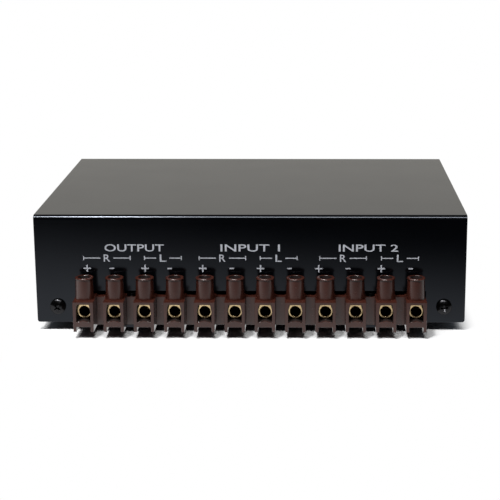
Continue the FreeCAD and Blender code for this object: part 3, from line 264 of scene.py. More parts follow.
class Finishes(bpy.types.PropertyGroup):
    powder: colour("Powder coat", (0.0012, 0.0015, 0.0022), "Black coat of the case")
    powder_tint: colour("Powder tint", (0.8, 0.87, 1.0), "Tint of the coat's shine, seen square on")
    powder_roughness: share("Powder roughness", 0.15, "Roughness of the coat")
    moulding: colour("Moulding", (0.052, 0.0145, 0.0095), "Brown plastic of the terminal strip")
    moulding_roughness: share("Moulding roughness", 0.24, "Roughness of the brown plastic")
    # Painted shade: a darker brown for the inside of the guides' bores and the tunnels, standing in
    # for the shade there.
    moulding_painted_shade: share("Moulding painted shade", 0.2, "Share of the brown's brightness inside the bores")
    brass: colour("Brass", (0.9, 0.68, 0.37), "Turned brass of the sleeves")
    # Painted shade: a nearly black brass for the inside of the wire entries, standing in for the
    # shade deep in them.
    brass_painted_shade: share("Brass painted shade", 0.05, "Share of the brass's brightness inside the wire entries")
    zinc: colour("Zinc", (0.52, 0.52, 0.53), "Zinc-plated steel")
    spring: share("Spring steel", 0.7, "Share of the zinc's brightness on the springs")
    nickel: colour("Nickel", (0.62, 0.59, 0.53), "Nickel plate of the switch's bush and nut")
    oxide: colour("Black oxide", (0.032, 0.032, 0.034), "Blackened steel of the case screws")
    rubber: colour("Rubber", (0.022, 0.022, 0.023), "Rubber of the feet")
    knob: colour("Knob", (0.016, 0.016, 0.017), "Plastic of the knob")
    pointer: colour("Pointer", (0.78, 0.78, 0.76), "Paint of the pointer line")
    ink: colour("Ink", (0.62, 0.64, 0.7), "Printed legends")
    board: colour("Board", (0.32, 0.19, 0.09), "Phenolic board of the wafers")
    silver: colour("Silver", (0.78, 0.77, 0.73), "Silver-plated contacts")
    wire: colour("Wires", (0.35, 0.018, 0.014), "Insulation of the wires")


class StageSettings(bpy.types.PropertyGroup):
    lens: FloatProperty(name="Lens", description="Focal length in millimetres", default=100.205)
    sensor: FloatProperty(name="Sensor", description="Sensor's width in millimetres", default=36.0)
    camera_place: position("Camera", (0.022488, -0.593991, 0.168151), "Camera's place")
    pitch: angle("Pitch", 14.0228, "Camera's tilt below level")
    yaw: angle("Yaw", 0.266, "Camera's turn from straight ahead")
    shift: FloatVectorProperty(name="Shift", description="Frame's shift, in frame widths",
                               default=(-0.10275, -0.01278), size=2)
    floor: colour("Floor", (0.86, 0.86, 0.86), "Paper that the object stands on")
    floor_size: length("Floor size", 8000.0, "Side of the floor")
    floor_bounce: share("Floor bounce", 0.25, "Share of its light that the floor throws back")
    floor_lift: FloatProperty(name="Floor lift", default=1.15, min=0.0,
                              description="How much brighter than its paper the floor looks")
    fade_margin: length("Fade margin", 4.0, "Fades' start inside the case's sides and past the strip")
    side_fade: length("Side fade", 10.0, "Width over which the floor turns white beside the case")
    front_fade: length("Front fade", 26.3, "Width over which it turns white before and behind")
    # Painted reflection: the floor's glow, seen only in reflections, and where it fades out before
    # the middle.
    shine: share("Floor shine", 0.98, "Strength of the floor in reflections")
    shine_slant: share("Shine slant", 0.3, "How much the floor's dark front leans to the right")
    shine_start: length("Shine start", 50.0, "Before the middle, where that shine starts to fade")
    shine_end: length("Shine end", 250.0, "Before the middle, where that shine is gone")
    key_light: power("Key light", 6.0, "Power of the small high softbox")
    key_place: position("Key place", (-0.22, -0.5, 1.05), "Small softbox's place")
    key_size: lengths("Key size", (0.1, 0.1), "Small softbox's sides")
    strip_light: power("Strip light", 13.0, "Power of the wide high softbox")
    strip_place: position("Strip place", (-0.18, -0.5, 1.05), "Wide softbox's place")
    strip_size: lengths("Strip size", (1.1, 0.3), "Wide softbox's sides")
    matt_light: share("Matt light", 0.35, "Surroundings' strength on matt surfaces")
    matt_front: share("Matt front", 0.06, "Share of that strength that comes from the front")
    matt_tint: colour("Matt tint", (0.75, 0.85, 1.0), "Surroundings' colour on matt surfaces")
    gloss_light: share("Gloss light", 0.545, "Surroundings' strength in reflections")
    gloss_least: share("Gloss least", 0.05, "Share of that strength where they are darkest")
    gloss_tint: colour("Gloss tint", (1.0, 0.97, 0.9), "Surroundings' colour in reflections")


GROUPS = {
    "selector_case": CaseSizes,
    "selector_strip": StripSizes,
    "selector_knob": KnobSizes,
    "selector_legend": LegendSizes,
    "selector_finishes": Finishes,
    "selector_stage": StageSettings,
}


# ---------------------------------------------------------------- modelling by hand

def deselect():
    """Leaves edit mode and selects nothing."""
    if bpy.context.mode != "OBJECT":
        bpy.ops.object.mode_set(mode="OBJECT")
    bpy.ops.object.select_all(action="DESELECT")


def choose(*pieces):
    """Selects pieces, the first of them active."""
    deselect()
    for piece in pieces:
        piece.select_set(True)
    bpy.context.view_layer.objects.active = pieces[0]


def drop(piece):
    """Removes a piece that was only a pattern or a cutter."""
    bpy.data.objects.remove(piece, do_unlink=True)


def named(name):
    """Names the piece that was just made."""
    piece = bpy.context.object
    piece.name = name
    piece.data.name = name
    return piece


def settle(piece):
    """Puts a piece's place, turn and size into its mesh."""
    choose(piece)
    bpy.ops.object.transform_apply(location=True, rotation=True, scale=True)
    return piece


def add_block(name, low, high):
    """A block between two corners."""
    deselect()
    low, high = Vector(low), Vector(high)
    bpy.ops.mesh.primitive_cube_add(size=1, location=(low + high) / 2)
    piece = named(name)
    piece.scale = high - low
    return settle(piece)


def add_rod(name, radius, start, end, segments=32):
    """A cylinder between two points on a line along one axis."""
    deselect()
    start, end = Vector(start), Vector(end)
    along = end - start
    turn = Vector((0, 0, 1)).rotation_difference(along).to_euler()
    bpy.ops.mesh.primitive_cylinder_add(vertices=segments, radius=radius, depth=along.length,
                                        location=(start + end) / 2, rotation=turn)
    return settle(named(name))


def edit(piece, mode="FACE", everything=False):
    """Opens a piece in edit mode with nothing selected, or everything."""
    choose(piece)
    bpy.ops.object.mode_set(mode="EDIT")
    bpy.ops.mesh.select_mode(type=mode)
    bpy.ops.mesh.select_all(action="SELECT" if everything else "DESELECT")


def done():
    """Leaves edit mode."""
    bpy.ops.object.mode_set(mode="OBJECT")


def pick(piece, kind, test):
    """In edit mode, selects the faces, edges or verts that a test says yes to."""
    mesh = bmesh.from_edit_mesh(piece.data)
    for part in getattr(mesh, kind):
        if test(part):
            part.select_set(True)
    bmesh.update_edit_mesh(piece.data)


def close_to(a, b, tolerance=0.01 * MM):
    """True for two places along an axis that are the same, but for rounded numbers."""
    return abs(a - b) < tolerance


def edge_middle(edge):
    """The middle of an edge of a mesh."""
    return (edge.verts[0].co + edge.verts[1].co) / 2


def edge_runs(edge, axis):
    """True for an edge along the axis 0, 1 or 2."""
    way = edge.verts[1].co - edge.verts[0].co
    return abs(way[axis]) > 0.999 * way.length


def faces_up(face):
    """True for a face that looks upwards."""
    return face.normal.z > 0.5


def faces_sideways(face, axis):
    """True for a face that looks either way along the axis 0, 1 or 2."""
    return abs(face.normal[axis]) > 0.5


def extrude_up(rise):
    """Extrudes what is selected straight up."""
    bpy.ops.mesh.extrude_region_move(TRANSFORM_OT_translate={"value": (0, 0, rise)})


def widen(ratio, y, z):
    """Stretches what is selected along X, about the middle plane."""
    bpy.ops.transform.resize(value=(ratio, 1, 1), center_override=(0, y, z))


def bevel_edges(piece, test, width, segments):
    """Rounds the edges that a test says yes to."""
    edit(piece, "EDGE")
    pick(piece, "edges", test)
    bpy.ops.mesh.bevel(offset=width, segments=segments)
    done()


def apply_modifiers(piece):
    """Turns a piece's modifiers into mesh, first to last."""
    choose(piece)
    for modifier in list(piece.modifiers):
        bpy.ops.object.modifier_apply(modifier=modifier.name)


def combine(piece, others, operation):
    """Changes a piece by its boolean with each of the others, which are used up."""
    for other in others:
        modifier = piece.modifiers.new("Boolean", "BOOLEAN")
        modifier.operation = operation
        modifier.solver = "EXACT"
        modifier.object = other
        apply_modifiers(piece)
        drop(other)
    return piece


def carve(piece, *cutters):
    """Cuts other pieces out of a piece, one after another."""
    return combine(piece, cutters, "DIFFERENCE")


def weld(piece, *others):
    """Joins other pieces on, as one closed solid."""
    return combine(piece, others, "UNION")


def join(name, pieces):
    """Puts pieces into one mesh, as they are."""
    choose(*pieces)
    bpy.ops.object.join()
    return named(name)


def copy_of(piece, name):
    """A copy with a mesh of its own."""
    choose(piece)
    bpy.ops.object.duplicate(linked=False)
    return named(name)


def move(piece, x=0.0, y=0.0, z=0.0):
    """Moves a piece that was made at the origin."""
    piece.location = (x, y, z)
    return settle(piece)


def repeat_along_x(piece, number, step):
    """Repeats a piece in a row, within its own mesh."""
    row = piece.modifiers.new("Row", "ARRAY")
    row.count = number
    row.use_relative_offset = False
    row.use_constant_offset = True
    row.constant_offset_displace = (step, 0, 0)
    apply_modifiers(piece)


def ring_of(pattern, number):
    """Copies of a pattern round the Z axis, joined; the pattern is used up."""
    ring = []
    for step in range(number):
        piece = copy_of(pattern, pattern.name)
        piece.rotation_euler.z = math.tau * step / number
        ring.append(settle(piece))
    drop(pattern)
    return join("ring", ring)


def tidy_mesh(piece):
    """Merges doubles and turns every face outwards."""
    edit(piece, "VERT", everything=True)
    bpy.ops.mesh.remove_doubles(threshold=MICRON)
    bpy.ops.mesh.normals_make_consistent(inside=False)
    done()
    return piece


def smooth(piece, degrees=35):
    """Shades a piece smooth, apart from edges sharper than an angle."""
    choose(piece)
    bpy.ops.object.shade_smooth_by_angle(angle=math.radians(degrees))
    weights = piece.modifiers.new("Weights", "WEIGHTED_NORMAL")
    weights.keep_sharp = True
    apply_modifiers(piece)
    return piece


def thicken(piece, sheet):
    """Gives an open shell its wall, inwards."""
    wall = piece.modifiers.new("Sheet", "SOLIDIFY")
    wall.thickness = sheet
    wall.offset = -1.0
    wall.use_even_offset = True
    apply_modifiers(piece)


def round_edges(piece, width, segments=2, degrees=35):
    """Rounds every edge that is sharper than an angle, and shades the flats flat."""
    bevel = piece.modifiers.new("Edges", "BEVEL")
    bevel.width = width
    bevel.segments = segments
    bevel.limit_method = "ANGLE"
    bevel.angle_limit = math.radians(degrees)
    bevel.harden_normals = False
    apply_modifiers(piece)
    return smooth(piece, degrees=40)


def turn_up(name, profile, segments=64, centre=(0, 0, 0), toward="z"):
    """A turned piece: rings of (radius, height) from its first cap to its last."""
    deselect()
    radius, height = profile[0]
    bpy.ops.mesh.primitive_circle_add(vertices=segments, radius=radius, location=(0, 0, height))
    piece = settle(named(name))
    edit(piece, "EDGE", everything=True)
    bpy.ops.mesh.edge_face_add()
    for next_radius, next_height in profile[1:]:
        ratio = next_radius / radius
        extrude_up(next_height - height)
        bpy.ops.transform.resize(value=(ratio, ratio, 1), center_override=(0, 0, next_height))
        radius, height = next_radius, next_height
    done()
    tidy_mesh(piece)
    turns = {"z": (0, 0, 0), "y": (-math.pi / 2, 0, 0), "-y": (math.pi / 2, 0, 0)}
    piece.rotation_euler = turns[toward]
    piece.location = centre
    return settle(piece)


def middle(node):
    """The middle of a node of the frame."""
    low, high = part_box(node)
    return (low + high) / 2


def set_down(piece, at, z):
    """Moves a piece that was made at the origin over or under a place, with its foot at z."""
    return move(piece, at.x, at.y, z)


# ---------------------------------------------------------------- finishes

class Tree:
    """The nodes of a material or a world, with short ways to add and link them."""

    def __init__(self, tree, coordinates):
        self.tree = tree
        self.nodes = tree.nodes
        self.place = self.add("TexCoord")[coordinates]

    def feed(self, node, sockets):
        """Gives a node's sockets, named or numbered, a value or a link."""
        for name, value in sockets.items():
            if isinstance(value, bpy.types.NodeSocket):
                self.tree.links.new(value, node.inputs[name])
            else:
                node.inputs[name].default_value = value

    def add(self, kind, sockets=None, **settings):
        """Adds a node and gives its outputs."""
        node = self.nodes.new("ShaderNode" + kind)
        for name, value in settings.items():
            setattr(node, name, value)
        self.feed(node, sockets or {})
        return node.outputs

    def calculate(self, operation, first, second=0.0):
        """One sum, such as MULTIPLY, of numbers or outputs."""
        return self.add("Math", {0: first, 1: second}, operation=operation)["Value"]

    def noise(self, scale, detail=2.0, roughness=0.5, place=None):
        """Cloudy noise with scale features to the metre."""
        return self.add("TexNoise", {"Vector": place or self.place, "Scale": scale,
                                     "Detail": detail, "Roughness": roughness})["Fac"]

    def ranged(self, value, low=0.0, high=1.0, start=0.0, end=1.0, **settings):
        """Goes from low to high as a value goes from start to end."""
        return self.add("MapRange", {"Value": value, "From Min": start, "From Max": end,
                                     "To Min": low, "To Max": high}, **settings)["Result"]

    def ramp(self, value, low, high, start, end):
        """The same, starting and ending softly."""
        return self.ranged(value, low, high, start, end, interpolation_type="SMOOTHSTEP")

    def mixed(self, factor, first, second, kind="RGBA"):
        """Between two colours, or two numbers if the kind is FLOAT."""
        return self.add("Mix", {"Factor": factor, "A": first, "B": second},
                        data_type=kind)["Result"]

    def blend(self, factor, first, second):
        """Between two shaders."""
        return self.add("MixShader", {0: factor, 1: first, 2: second})["Shader"]

    def glow(self, strength):
        """White that lights itself."""
        return self.add("Emission", {"Strength": strength})["Emission"]


class Finish(Tree):
    """A material on the object's coordinates, and the shader that ends it."""

    def __init__(self, name, base, roughness, metallic=0.0):
        self.material = bpy.data.materials.new(name)
        self.material.use_nodes = True
        super().__init__(self.material.node_tree, "Object")
        self.shader = self.nodes["Principled BSDF"]
        self.base = base
        self.under = {}
        self.feed(self.shader, {"Base Color": (*base, 1.0), "Roughness": roughness,
                                "Metallic": metallic})

    def stretched(self, scale, turn=(0, 0, 0)):
        """The object's coordinates, stretched and turned."""
        return self.add("Mapping", {"Vector": self.place, "Scale": scale,
                                    "Rotation": turn})["Vector"]

    def clouds(self, scale, detail=3.0, roughness=0.5, place=None, start=0.3, end=0.7):
        """A mask of soft patches."""
        return self.ranged(self.noise(scale, detail, roughness, place), start=start, end=end)

    def specks(self, scale, threshold, softness=0.08):
        """A mask of sparse small marks: rubbed spots, dust and scuffs."""
        return self.clouds(scale, detail=6.0, roughness=0.7, start=threshold,
                           end=threshold + softness)

    def tone(self, mask, low, high):
        """Varies the colour from low to high times its base where the mask grows."""
        self.feed(self.shader, {"Base Color": self.mixed(
            mask, (*shade(self.base, low), 1.0), (*shade(self.base, high), 1.0))})

    def dull(self, mask, low, high):
        """Varies the roughness from low to high where the mask grows."""
        self.feed(self.shader, {"Roughness": self.ranged(mask, low, high)})

    def relief(self, height, microns, strength):
        """Adds a relief of a depth in microns over what relief there is."""
        self.under = {"Normal": self.add("Bump", {
            "Height": height, "Distance": microns * MICRON, "Strength": strength,
            **self.under})["Normal"]}
        self.feed(self.shader, self.under)


def shade(base, factor):
    """A colour made lighter or darker by a factor."""
    return tuple(min(1.0, channel * factor) for channel in base)


def powder_coat(name, base, roughness, tint):
    """Glossy black coat: fine orange peel, faint cloudiness, a few dust specks."""
    finish = Finish(name, base, roughness)
    finish.feed(finish.shader, {"Specular IOR Level": 0.42, "Specular Tint": (*tint, 1.0)})
    finish.tone(finish.specks(scale=1400, threshold=0.74), 1.0, 3.0)
    finish.dull(finish.clouds(scale=60), roughness - 0.015, roughness + 0.02)
    finish.relief(finish.noise(scale=900), microns=10, strength=0.25)
    finish.relief(finish.noise(scale=3800, detail=3.0), microns=4, strength=0.25)
    return finish.material


def moulded_plastic(name, base, roughness, grain=2600):
    """Moulded plastic: flow clouds, faint scuffs and fine grain."""
    finish = Finish(name, base, roughness)
    finish.feed(finish.shader, {"Specular IOR Level": 0.7})
    flow = finish.stretched((1, 1, 0.35))
    finish.tone(finish.clouds(scale=160, detail=4.0, place=flow), 0.82, 1.2)
    finish.dull(finish.specks(scale=900, threshold=0.62), roughness, min(1, roughness + 0.2))
    finish.relief(finish.noise(scale=420), microns=30, strength=0.3)
    finish.relief(finish.noise(scale=grain, detail=3.0), microns=10, strength=0.35)
    return finish.material


def turned_metal(name, base, roughness):
    """Machined metal: fine turning rings along the Y axis and faint tarnish."""
    finish = Finish(name, base, roughness, metallic=1.0)
    finish.tone(finish.clouds(scale=500, detail=5.0, start=0.35), 1.0, 0.72)
    finish.dull(finish.clouds(scale=1300), roughness - 0.06, roughness + 0.12)
    rings = finish.noise(scale=9000, place=finish.stretched((0.02, 1.0, 0.02)))
    finish.relief(rings, microns=8, strength=0.4)
    return finish.material


def plated_steel(name, base, roughness):
    """Zinc-plated or blackened steel: cloudy plating and small scratches."""
    finish = Finish(name, base, roughness, metallic=1.0)
    plating = finish.clouds(scale=700, detail=5.0, roughness=0.6)
    finish.tone(plating, 1.12, 0.75)
    finish.dull(plating, roughness - 0.05, roughness + 0.12)
    scratches = finish.noise(scale=2500, place=finish.stretched((1, 0.05, 0.3), (0.3, 0.5, 0.9)))
    finish.relief(scratches, microns=6, strength=0.3)
    return finish.material


def foot_rubber(name, base, roughness):
    """Matt rubber with dust in its grain."""
    finish = Finish(name, base, roughness)
    finish.tone(finish.specks(scale=500, threshold=0.55), 1.0, 2.6)
    finish.relief(finish.noise(scale=3000, detail=4.0), microns=20, strength=0.6)
    return finish.material


def printed_ink(name, base, roughness):
    """Screen-printed ink: slightly uneven cover and a soft tooth."""
    finish = Finish(name, base, roughness)
    finish.tone(finish.clouds(scale=2600, start=0.35, end=0.75), 1.0, 0.72)
    finish.relief(finish.noise(scale=5200), microns=10, strength=0.5)
    return finish.material


def phenolic_board(name, base, roughness):
    """Paper-filled board: a pressed weave under a thin glaze."""
    finish = Finish(name, base, roughness)
    weave = finish.add("TexWave", {"Vector": finish.place, "Scale": 700, "Distortion": 2.5,
                                   "Detail": 2.0}, wave_type="BANDS", bands_direction="X")["Fac"]
    finish.tone(weave, 0.8, 1.15)
    finish.relief(weave, microns=10, strength=0.4)
    return finish.material


def wire_insulation(name, base, roughness):
    """Drawn insulation, its colour and surface a little uneven."""
    finish = Finish(name, base, roughness)
    finish.tone(finish.clouds(scale=300), 1.0, 0.7)
    finish.relief(finish.noise(scale=2200), microns=12, strength=0.4)
    return finish.material


# Materials by their finish's name, each made once and shared.
_made = {}


def finish_for(name):
    """The named material, made the first time that it is asked for."""
    looks = bpy.context.scene.selector_finishes
    # Each finish's maker, material name, base colour and roughness, and what else it takes.
    recipes = {
        "powder_coat": (powder_coat, "powder_coat", looks.powder, looks.powder_roughness,
                        looks.powder_tint),
        "moulding": (moulded_plastic, "strip_moulding", looks.moulding, looks.moulding_roughness),
        # Painted shade: the brown darkened for the faces inside the bores and tunnels.
        "moulding_painted_shade": (moulded_plastic, "strip_bore",
                          shade(looks.moulding, looks.moulding_painted_shade), 0.6),
        "knob": (moulded_plastic, "knob_moulding", looks.knob, 0.42, 3400),
        "pointer": (moulded_plastic, "pointer_inlay", looks.pointer, 0.3),
        "brass": (turned_metal, "sleeve_brass", looks.brass, 0.24),
        # Painted shade: the brass darkened nearly to black for the faces inside the wire entries.
        "brass_painted_shade": (turned_metal, "tarnished_brass", shade(looks.brass, looks.brass_painted_shade), 0.5),
        "zinc": (plated_steel, "zinc_plate", looks.zinc, 0.32),
        "spring": (plated_steel, "spring_steel", shade(looks.zinc, looks.spring), 0.28),
        "nickel": (turned_metal, "bush_nickel", looks.nickel, 0.2),
        "oxide": (plated_steel, "black_oxide", looks.oxide, 0.2),
        "rubber": (foot_rubber, "foot_rubber", looks.rubber, 0.75),
        "ink": (printed_ink, "printed_ink", looks.ink, 0.55),
        "board": (phenolic_board, "phenolic_board", looks.board, 0.42),
        "silver": (plated_steel, "silver_plate", looks.silver, 0.22),
        "insulation": (wire_insulation, "wire_insulation", looks.wire, 0.38),
    }
    if name not in _made:
        maker, *given = recipes[name]
        _made[name] = maker(*given)
    return _made[name]


def stand_in(piece, body, slot, finish_name, *nodes):
    """Finishes a modelled piece, sets it on its body and hides the plain nodes it stands for."""
    piece.data.materials.clear()
    piece.data.materials.append(finish_for(finish_name))
    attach(piece, body)
    if nodes:
        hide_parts(*nodes)


def paint_bore_shade(piece, finish_name, belongs):
    """A second finish, used here as painted shade, on the faces whose every corner is in a bore."""
    finish = finish_for(finish_name)
    if finish.name not in piece.data.materials:
        piece.data.materials.append(finish)
    edit(piece)
    pick(piece, "faces", lambda face: all(belongs(corner.co) for corner in face.verts))
    piece.active_material_index = len(piece.data.materials) - 1
    bpy.ops.object.material_slot_assign()
    done()


# ---------------------------------------------------------------- case

def fold_sheet(name, low, high, opened, folded, case, segments):
    """A folded sheet: a block without its open sides, rounded along its folds, then thickened."""
    piece = add_block(name, low, high)
    edit(piece)
    pick(piece, "faces", opened)
    bpy.ops.mesh.delete(type="FACE")
    done()
    bevel_edges(piece, folded, case.bend, segments)
    thicken(piece, case.sheet)
    return piece


def hole_along_y(name, radius, at, reach, segments=32):
    """A cutter for a round hole, as long before a place as behind it."""
    half = Vector((0, reach, 0))
    return add_rod(name, radius, at - half, at + half, segments)


class MakeCover(bpy.types.Operator):
    """Rear panel, top and front panel, folded from one coated sheet"""
    bl_idname = "selector.make_cover"
    bl_label = "Cover"

    def execute(self, context):
        case = context.scene.selector_case
        low, high, sheet = COVER_LOW, COVER_HIGH, case.sheet
        cover = fold_sheet(
            "case_cover", low, high,
            lambda face: face.normal.z < -0.5 or faces_sideways(face, 0),
            lambda edge: edge_runs(edge, 0) and close_to(edge_middle(edge).z, high.z),
            case, segments=14)
        bevel_edges(cover, lambda edge: edge_runs(edge, 1) and edge.calc_length() < sheet * 1.5
                    and close_to(edge_middle(edge).z, low.z), case.corner, segments=8)

        notch = STRIP_HIGH.x + case.notch_gap
        cutters = [add_block("notch", (-notch, low.y - sheet, low.z - sheet),
                             (notch, low.y + sheet * 2, low.z + case.notch_top))]
        for name in CASE_SCREWS:
            cutters.append(hole_along_y("screw_hole", case.screw_hole, middle(name),
                                        reach=sheet * 8))
        for name, radius, x in (("bush_hole", case.bush_hole, 0.0),
                                ("peg_hole", case.peg_hole, -case.peg_offset)):
            at = Vector((x, high.y, SHAFT_AXIS.z))
            cutters.append(hole_along_y(name, radius, at, reach=sheet * 2, segments=48))
        carve(cover, *cutters)
        round_edges(cover, case.edge, segments=3)
        stand_in(cover, CASE, "case_paint", "powder_coat", "cover")
        return {"FINISHED"}


def fixing_places(strip):
    """Where the strip is screwed down: past the second terminal from each end, along X."""
    x = (strip.poles / 2 - 2) * strip.pitch
    return -x, x


class MakeTray(bpy.types.Operator):
    """Floor and side walls with screw tabs, and two tongues that carry the strip"""
    bl_idname = "selector.make_tray"
    bl_label = "Base tray"

    def execute(self, context):
        case = context.scene.selector_case
        strip = context.scene.selector_strip
        sheet = case.sheet
        play = COVER_HIGH.z - sheet - TRAY_HIGH.z
        low = Vector((TRAY_LOW.x, COVER_LOW.y + sheet + play, COVER_LOW.z))
        high = TRAY_HIGH
        tray = fold_sheet(
            "case_tray", low, high, lambda face: faces_up(face) or faces_sideways(face, 1),
            lambda edge: edge_runs(edge, 1) and close_to(edge_middle(edge).z, low.z),
            case, segments=10)
        bevel_edges(tray, lambda edge: edge_runs(edge, 0)
                    and close_to(edge_middle(edge).z, high.z), case.bend - sheet, segments=5)

        notch = STRIP_HIGH.x + case.notch_gap
        notch_end = STRIP_HIGH.y + case.notch_gap
        carve(tray, add_block("notch", (-notch, low.y - sheet, low.z - sheet),
                              (notch, notch_end, low.z + sheet * 2)))
        wall = high.x - sheet / 2
        for name in CASE_SCREWS:
            at = middle(name)
            x = sorted((math.copysign(notch + case.tab_gap, at.x), math.copysign(wall, at.x)))
            y = low.y if at.y < 0 else high.y - sheet
            weld(tray, add_block("tab", (x[0], y, low.z + sheet),
                                 (x[1], y + sheet, low.z + case.tab_height)))
            at.y = y + sheet / 2
            carve(tray, hole_along_y("tab_hole", case.tab_hole, at, reach=sheet * 1.5))
        for x in fixing_places(strip):
            weld(tray, self.tongue(case, strip, x, notch_end, low.z))
        round_edges(tray, case.edge)
        stand_in(tray, CASE, "tray_paint", "powder_coat", "base_tray")
        return {"FINISHED"}

    def tongue(self, case, strip, x, step, floor):
        """A tongue under the strip that steps up to the tray's floor where its lap starts."""
        half = case.tongue_width / 2
        tongue = add_block("tongue", (x - half, COVER_LOW.y - strip.web / 2, TRAY_LOW.z),
                           (x + half, step + case.tongue_lap, TRAY_LOW.z + case.sheet))
        edit(tongue, everything=True)
        bpy.ops.mesh.bisect(plane_co=(x, step, TRAY_LOW.z), plane_no=(0, 1, 0))
        bpy.ops.mesh.select_all(action="DESELECT")
        pick(tongue, "faces", lambda face: faces_up(face) and face.calc_center_median().y > step)
        extrude_up(floor - TRAY_LOW.z - case.sheet)
        done()
        return tongue


class MakeFeet(bpy.types.Operator):
    """Four stick-on rubber feet with a rounded, slightly hollow underside"""
    bl_idname = "selector.make_feet"
    bl_label = "Feet"

    def execute(self, context):
        case = context.scene.selector_case
        low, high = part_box(FEET[0])
        radius, height = (high.x - low.x) / 2, high.z - low.z
        rounding, rim, hollow = case.foot_rounding, case.foot_rim, case.foot_hollow
        profile = [(case.foot_flat, hollow), (radius * 0.42, hollow * 6 / 7), (radius / 2, 0.0)]
        steps = 6
        for step in range(steps + 1):
            turn = math.pi / 2 * step / steps
            profile.append((radius - rounding + rounding * math.sin(turn),
                            rounding - rounding * math.cos(turn)))
        profile += [(radius, height - rim), (radius - rim, height)]
        foot = turn_up("foot", profile, segments=56)
        for name in FEET:
            piece = set_down(copy_of(foot, name.replace("foot_", "bumper_")), middle(name), 0.0)
            smooth(piece)
            stand_in(piece, CASE, "foot_rubber", "rubber", name)
        drop(foot)
        return {"FINISHED"}


def dome_profile(case, steps=9):
    """Rings of a domed head from its seat to just short of its top."""
    radius, height, dome, rounding = (case.head_radius, case.head_height, case.head_dome,
                                      case.head_rim)
    rim = height - (dome - math.sqrt(dome ** 2 - radius ** 2))
    profile = [(radius / 2, 0.0), (radius - rounding, 0.0), (radius, rounding),
               (radius, rim - rounding)]
    reach = math.asin((radius - rounding * 5 / 6) / dome)
    for step in range(steps):
        turn = reach * (1 - step / steps)
        profile.append((dome * math.sin(turn), height - dome + dome * math.cos(turn)))
    return profile


def cross_cutter(radius, height, turn):
    """A tapered cross recess for a head, point down, centred on the Z axis."""
    arm, half, point, mouth = radius * 0.6, radius * 0.13, radius * 0.2, radius * 0.74
    floor, top = height * 0.25, height * 1.3
    cross = add_block("cross", (-arm, -half, floor), (arm, half, top))
    weld(cross, add_block("arm", (-half, -arm, floor), (half, arm, top)))
    deselect()
    bpy.ops.mesh.primitive_cone_add(vertices=32, radius1=point, radius2=mouth, depth=top - floor,
                                    location=(0, 0, (top + floor) / 2))
    combine(cross, [settle(named("taper"))], "INTERSECT")
    cross.rotation_euler.z = turn
    return settle(cross)


class MakeCaseScrews(bpy.types.Operator):
    """Four blackened screws with domed heads and a cross recess"""
    bl_idname = "selector.make_case_screws"
    bl_label = "Case screws"

    def execute(self, context):
        case = context.scene.selector_case
        height, shank = case.head_height, case.tab_hole
        for name in CASE_SCREWS:
            low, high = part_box(name)
            rear = low.y < 0
            seat = COVER_LOW.y if rear else COVER_HIGH.y
            # Below zero, because the shank runs back from the head's seat into the case.
            reach = seat - high.y if rear else low.y - seat
            head = turn_up(name.replace("case_screw", "domed_screw"), dome_profile(case))
            carve(head, cross_cutter(case.head_radius, height, math.radians(CROSS_TURNS[name])))
            round_edges(head, case.head_edge, degrees=40)
            weld(head, turn_up("shank", [(shank * 0.7, reach), (shank, reach * 0.9),
                                         (shank, height * 0.1)], segments=32))
            smooth(head, degrees=40)
            head.rotation_euler.x = math.pi / 2 if rear else -math.pi / 2
            head.location = middle(name)
            head.location.y = seat
            settle(head)
            stand_in(head, CASE, "case_screw_black", "oxide", name)
        return {"FINISHED"}


# ---------------------------------------------------------------- terminal strip

# Bores are found by their radius, with this much room for rounded numbers.
ROOM = 1.01


def first_terminal_x(strip):
    """The middle of the leftmost terminal along X, seen from the terminals."""
    return -(strip.poles - 1) * strip.pitch / 2


def from_terminal(strip, x):
    """How far a place is from the middle of the nearest terminal, along X."""
    across = (x - first_terminal_x(strip)) % strip.pitch
    return min(across, strip.pitch - across)


def levels(strip):
    """Heights of the tunnels' floor, the wire entries' axis and the terminals' top."""
    ground = STRIP_LOW.z
    return ground + strip.leg + strip.crossbar, ground + strip.entry_rise, ground + strip.height


def guide_places(strip):
    """The guides' middles along Y."""
    return STRIP_MIDDLE - strip.guide_offset, STRIP_MIDDLE + strip.guide_offset


def house(name, half, half_top, y, z):
    """A block along Y whose sides lean in from z[1] to z[2]."""
    block = add_block(name, (-half, y[0], z[0]), (half, y[1], z[1]))
    edit(block)
    pick(block, "faces", faces_up)
    extrude_up(z[2] - z[1])
    widen(half_top / half, (y[0] + y[1]) / 2, z[2])
    done()
    return block


def tunnel_cutter(strip, past):
    """The tunnel for a sleeve, its floor ridged along the middle."""
    sill, entry, roof = levels(strip)
    tunnel = house("tunnel", strip.tunnel / 2, strip.tunnel_head / 2,
                   (STRIP_LOW.y - past, STRIP_HIGH.y + past),
                   (sill, entry + strip.tunnel_taper, roof - strip.roof))
    edit(tunnel, everything=True)
    bpy.ops.mesh.bisect(plane_co=(0, 0, 0), plane_no=(1, 0, 0))
    bpy.ops.mesh.select_mode(type="VERT")
    bpy.ops.mesh.select_all(action="DESELECT")
    pick(tunnel, "verts", lambda corner: close_to(corner.co.x, 0) and close_to(corner.co.z, sill))
    bpy.ops.transform.translate(value=(0, 0, strip.ridge))
    done()
    return tunnel


def guide_profile(strip, roof, rim):
    """Rings of a screwdriver guide's outside, from inside the roof to its rim."""
    wall, lip = strip.guide, strip.lip
    outer, under = wall + lip, rim - strip.lip_height
    # The roundings under the lip and over it, as shares of how far it stands out.
    soft, crown = lip * 0.4, lip * 1.6
    return [
        (strip.guide_foot, roof - strip.roof * 0.4), (strip.guide_foot, roof),
        (wall, under - soft), (wall + soft, under - soft * 0.3), (outer - soft, under),
        (outer, under + soft), (outer, rim - crown), (outer - lip * 0.45, rim - lip / 2),
        (outer - crown, rim),
    ]


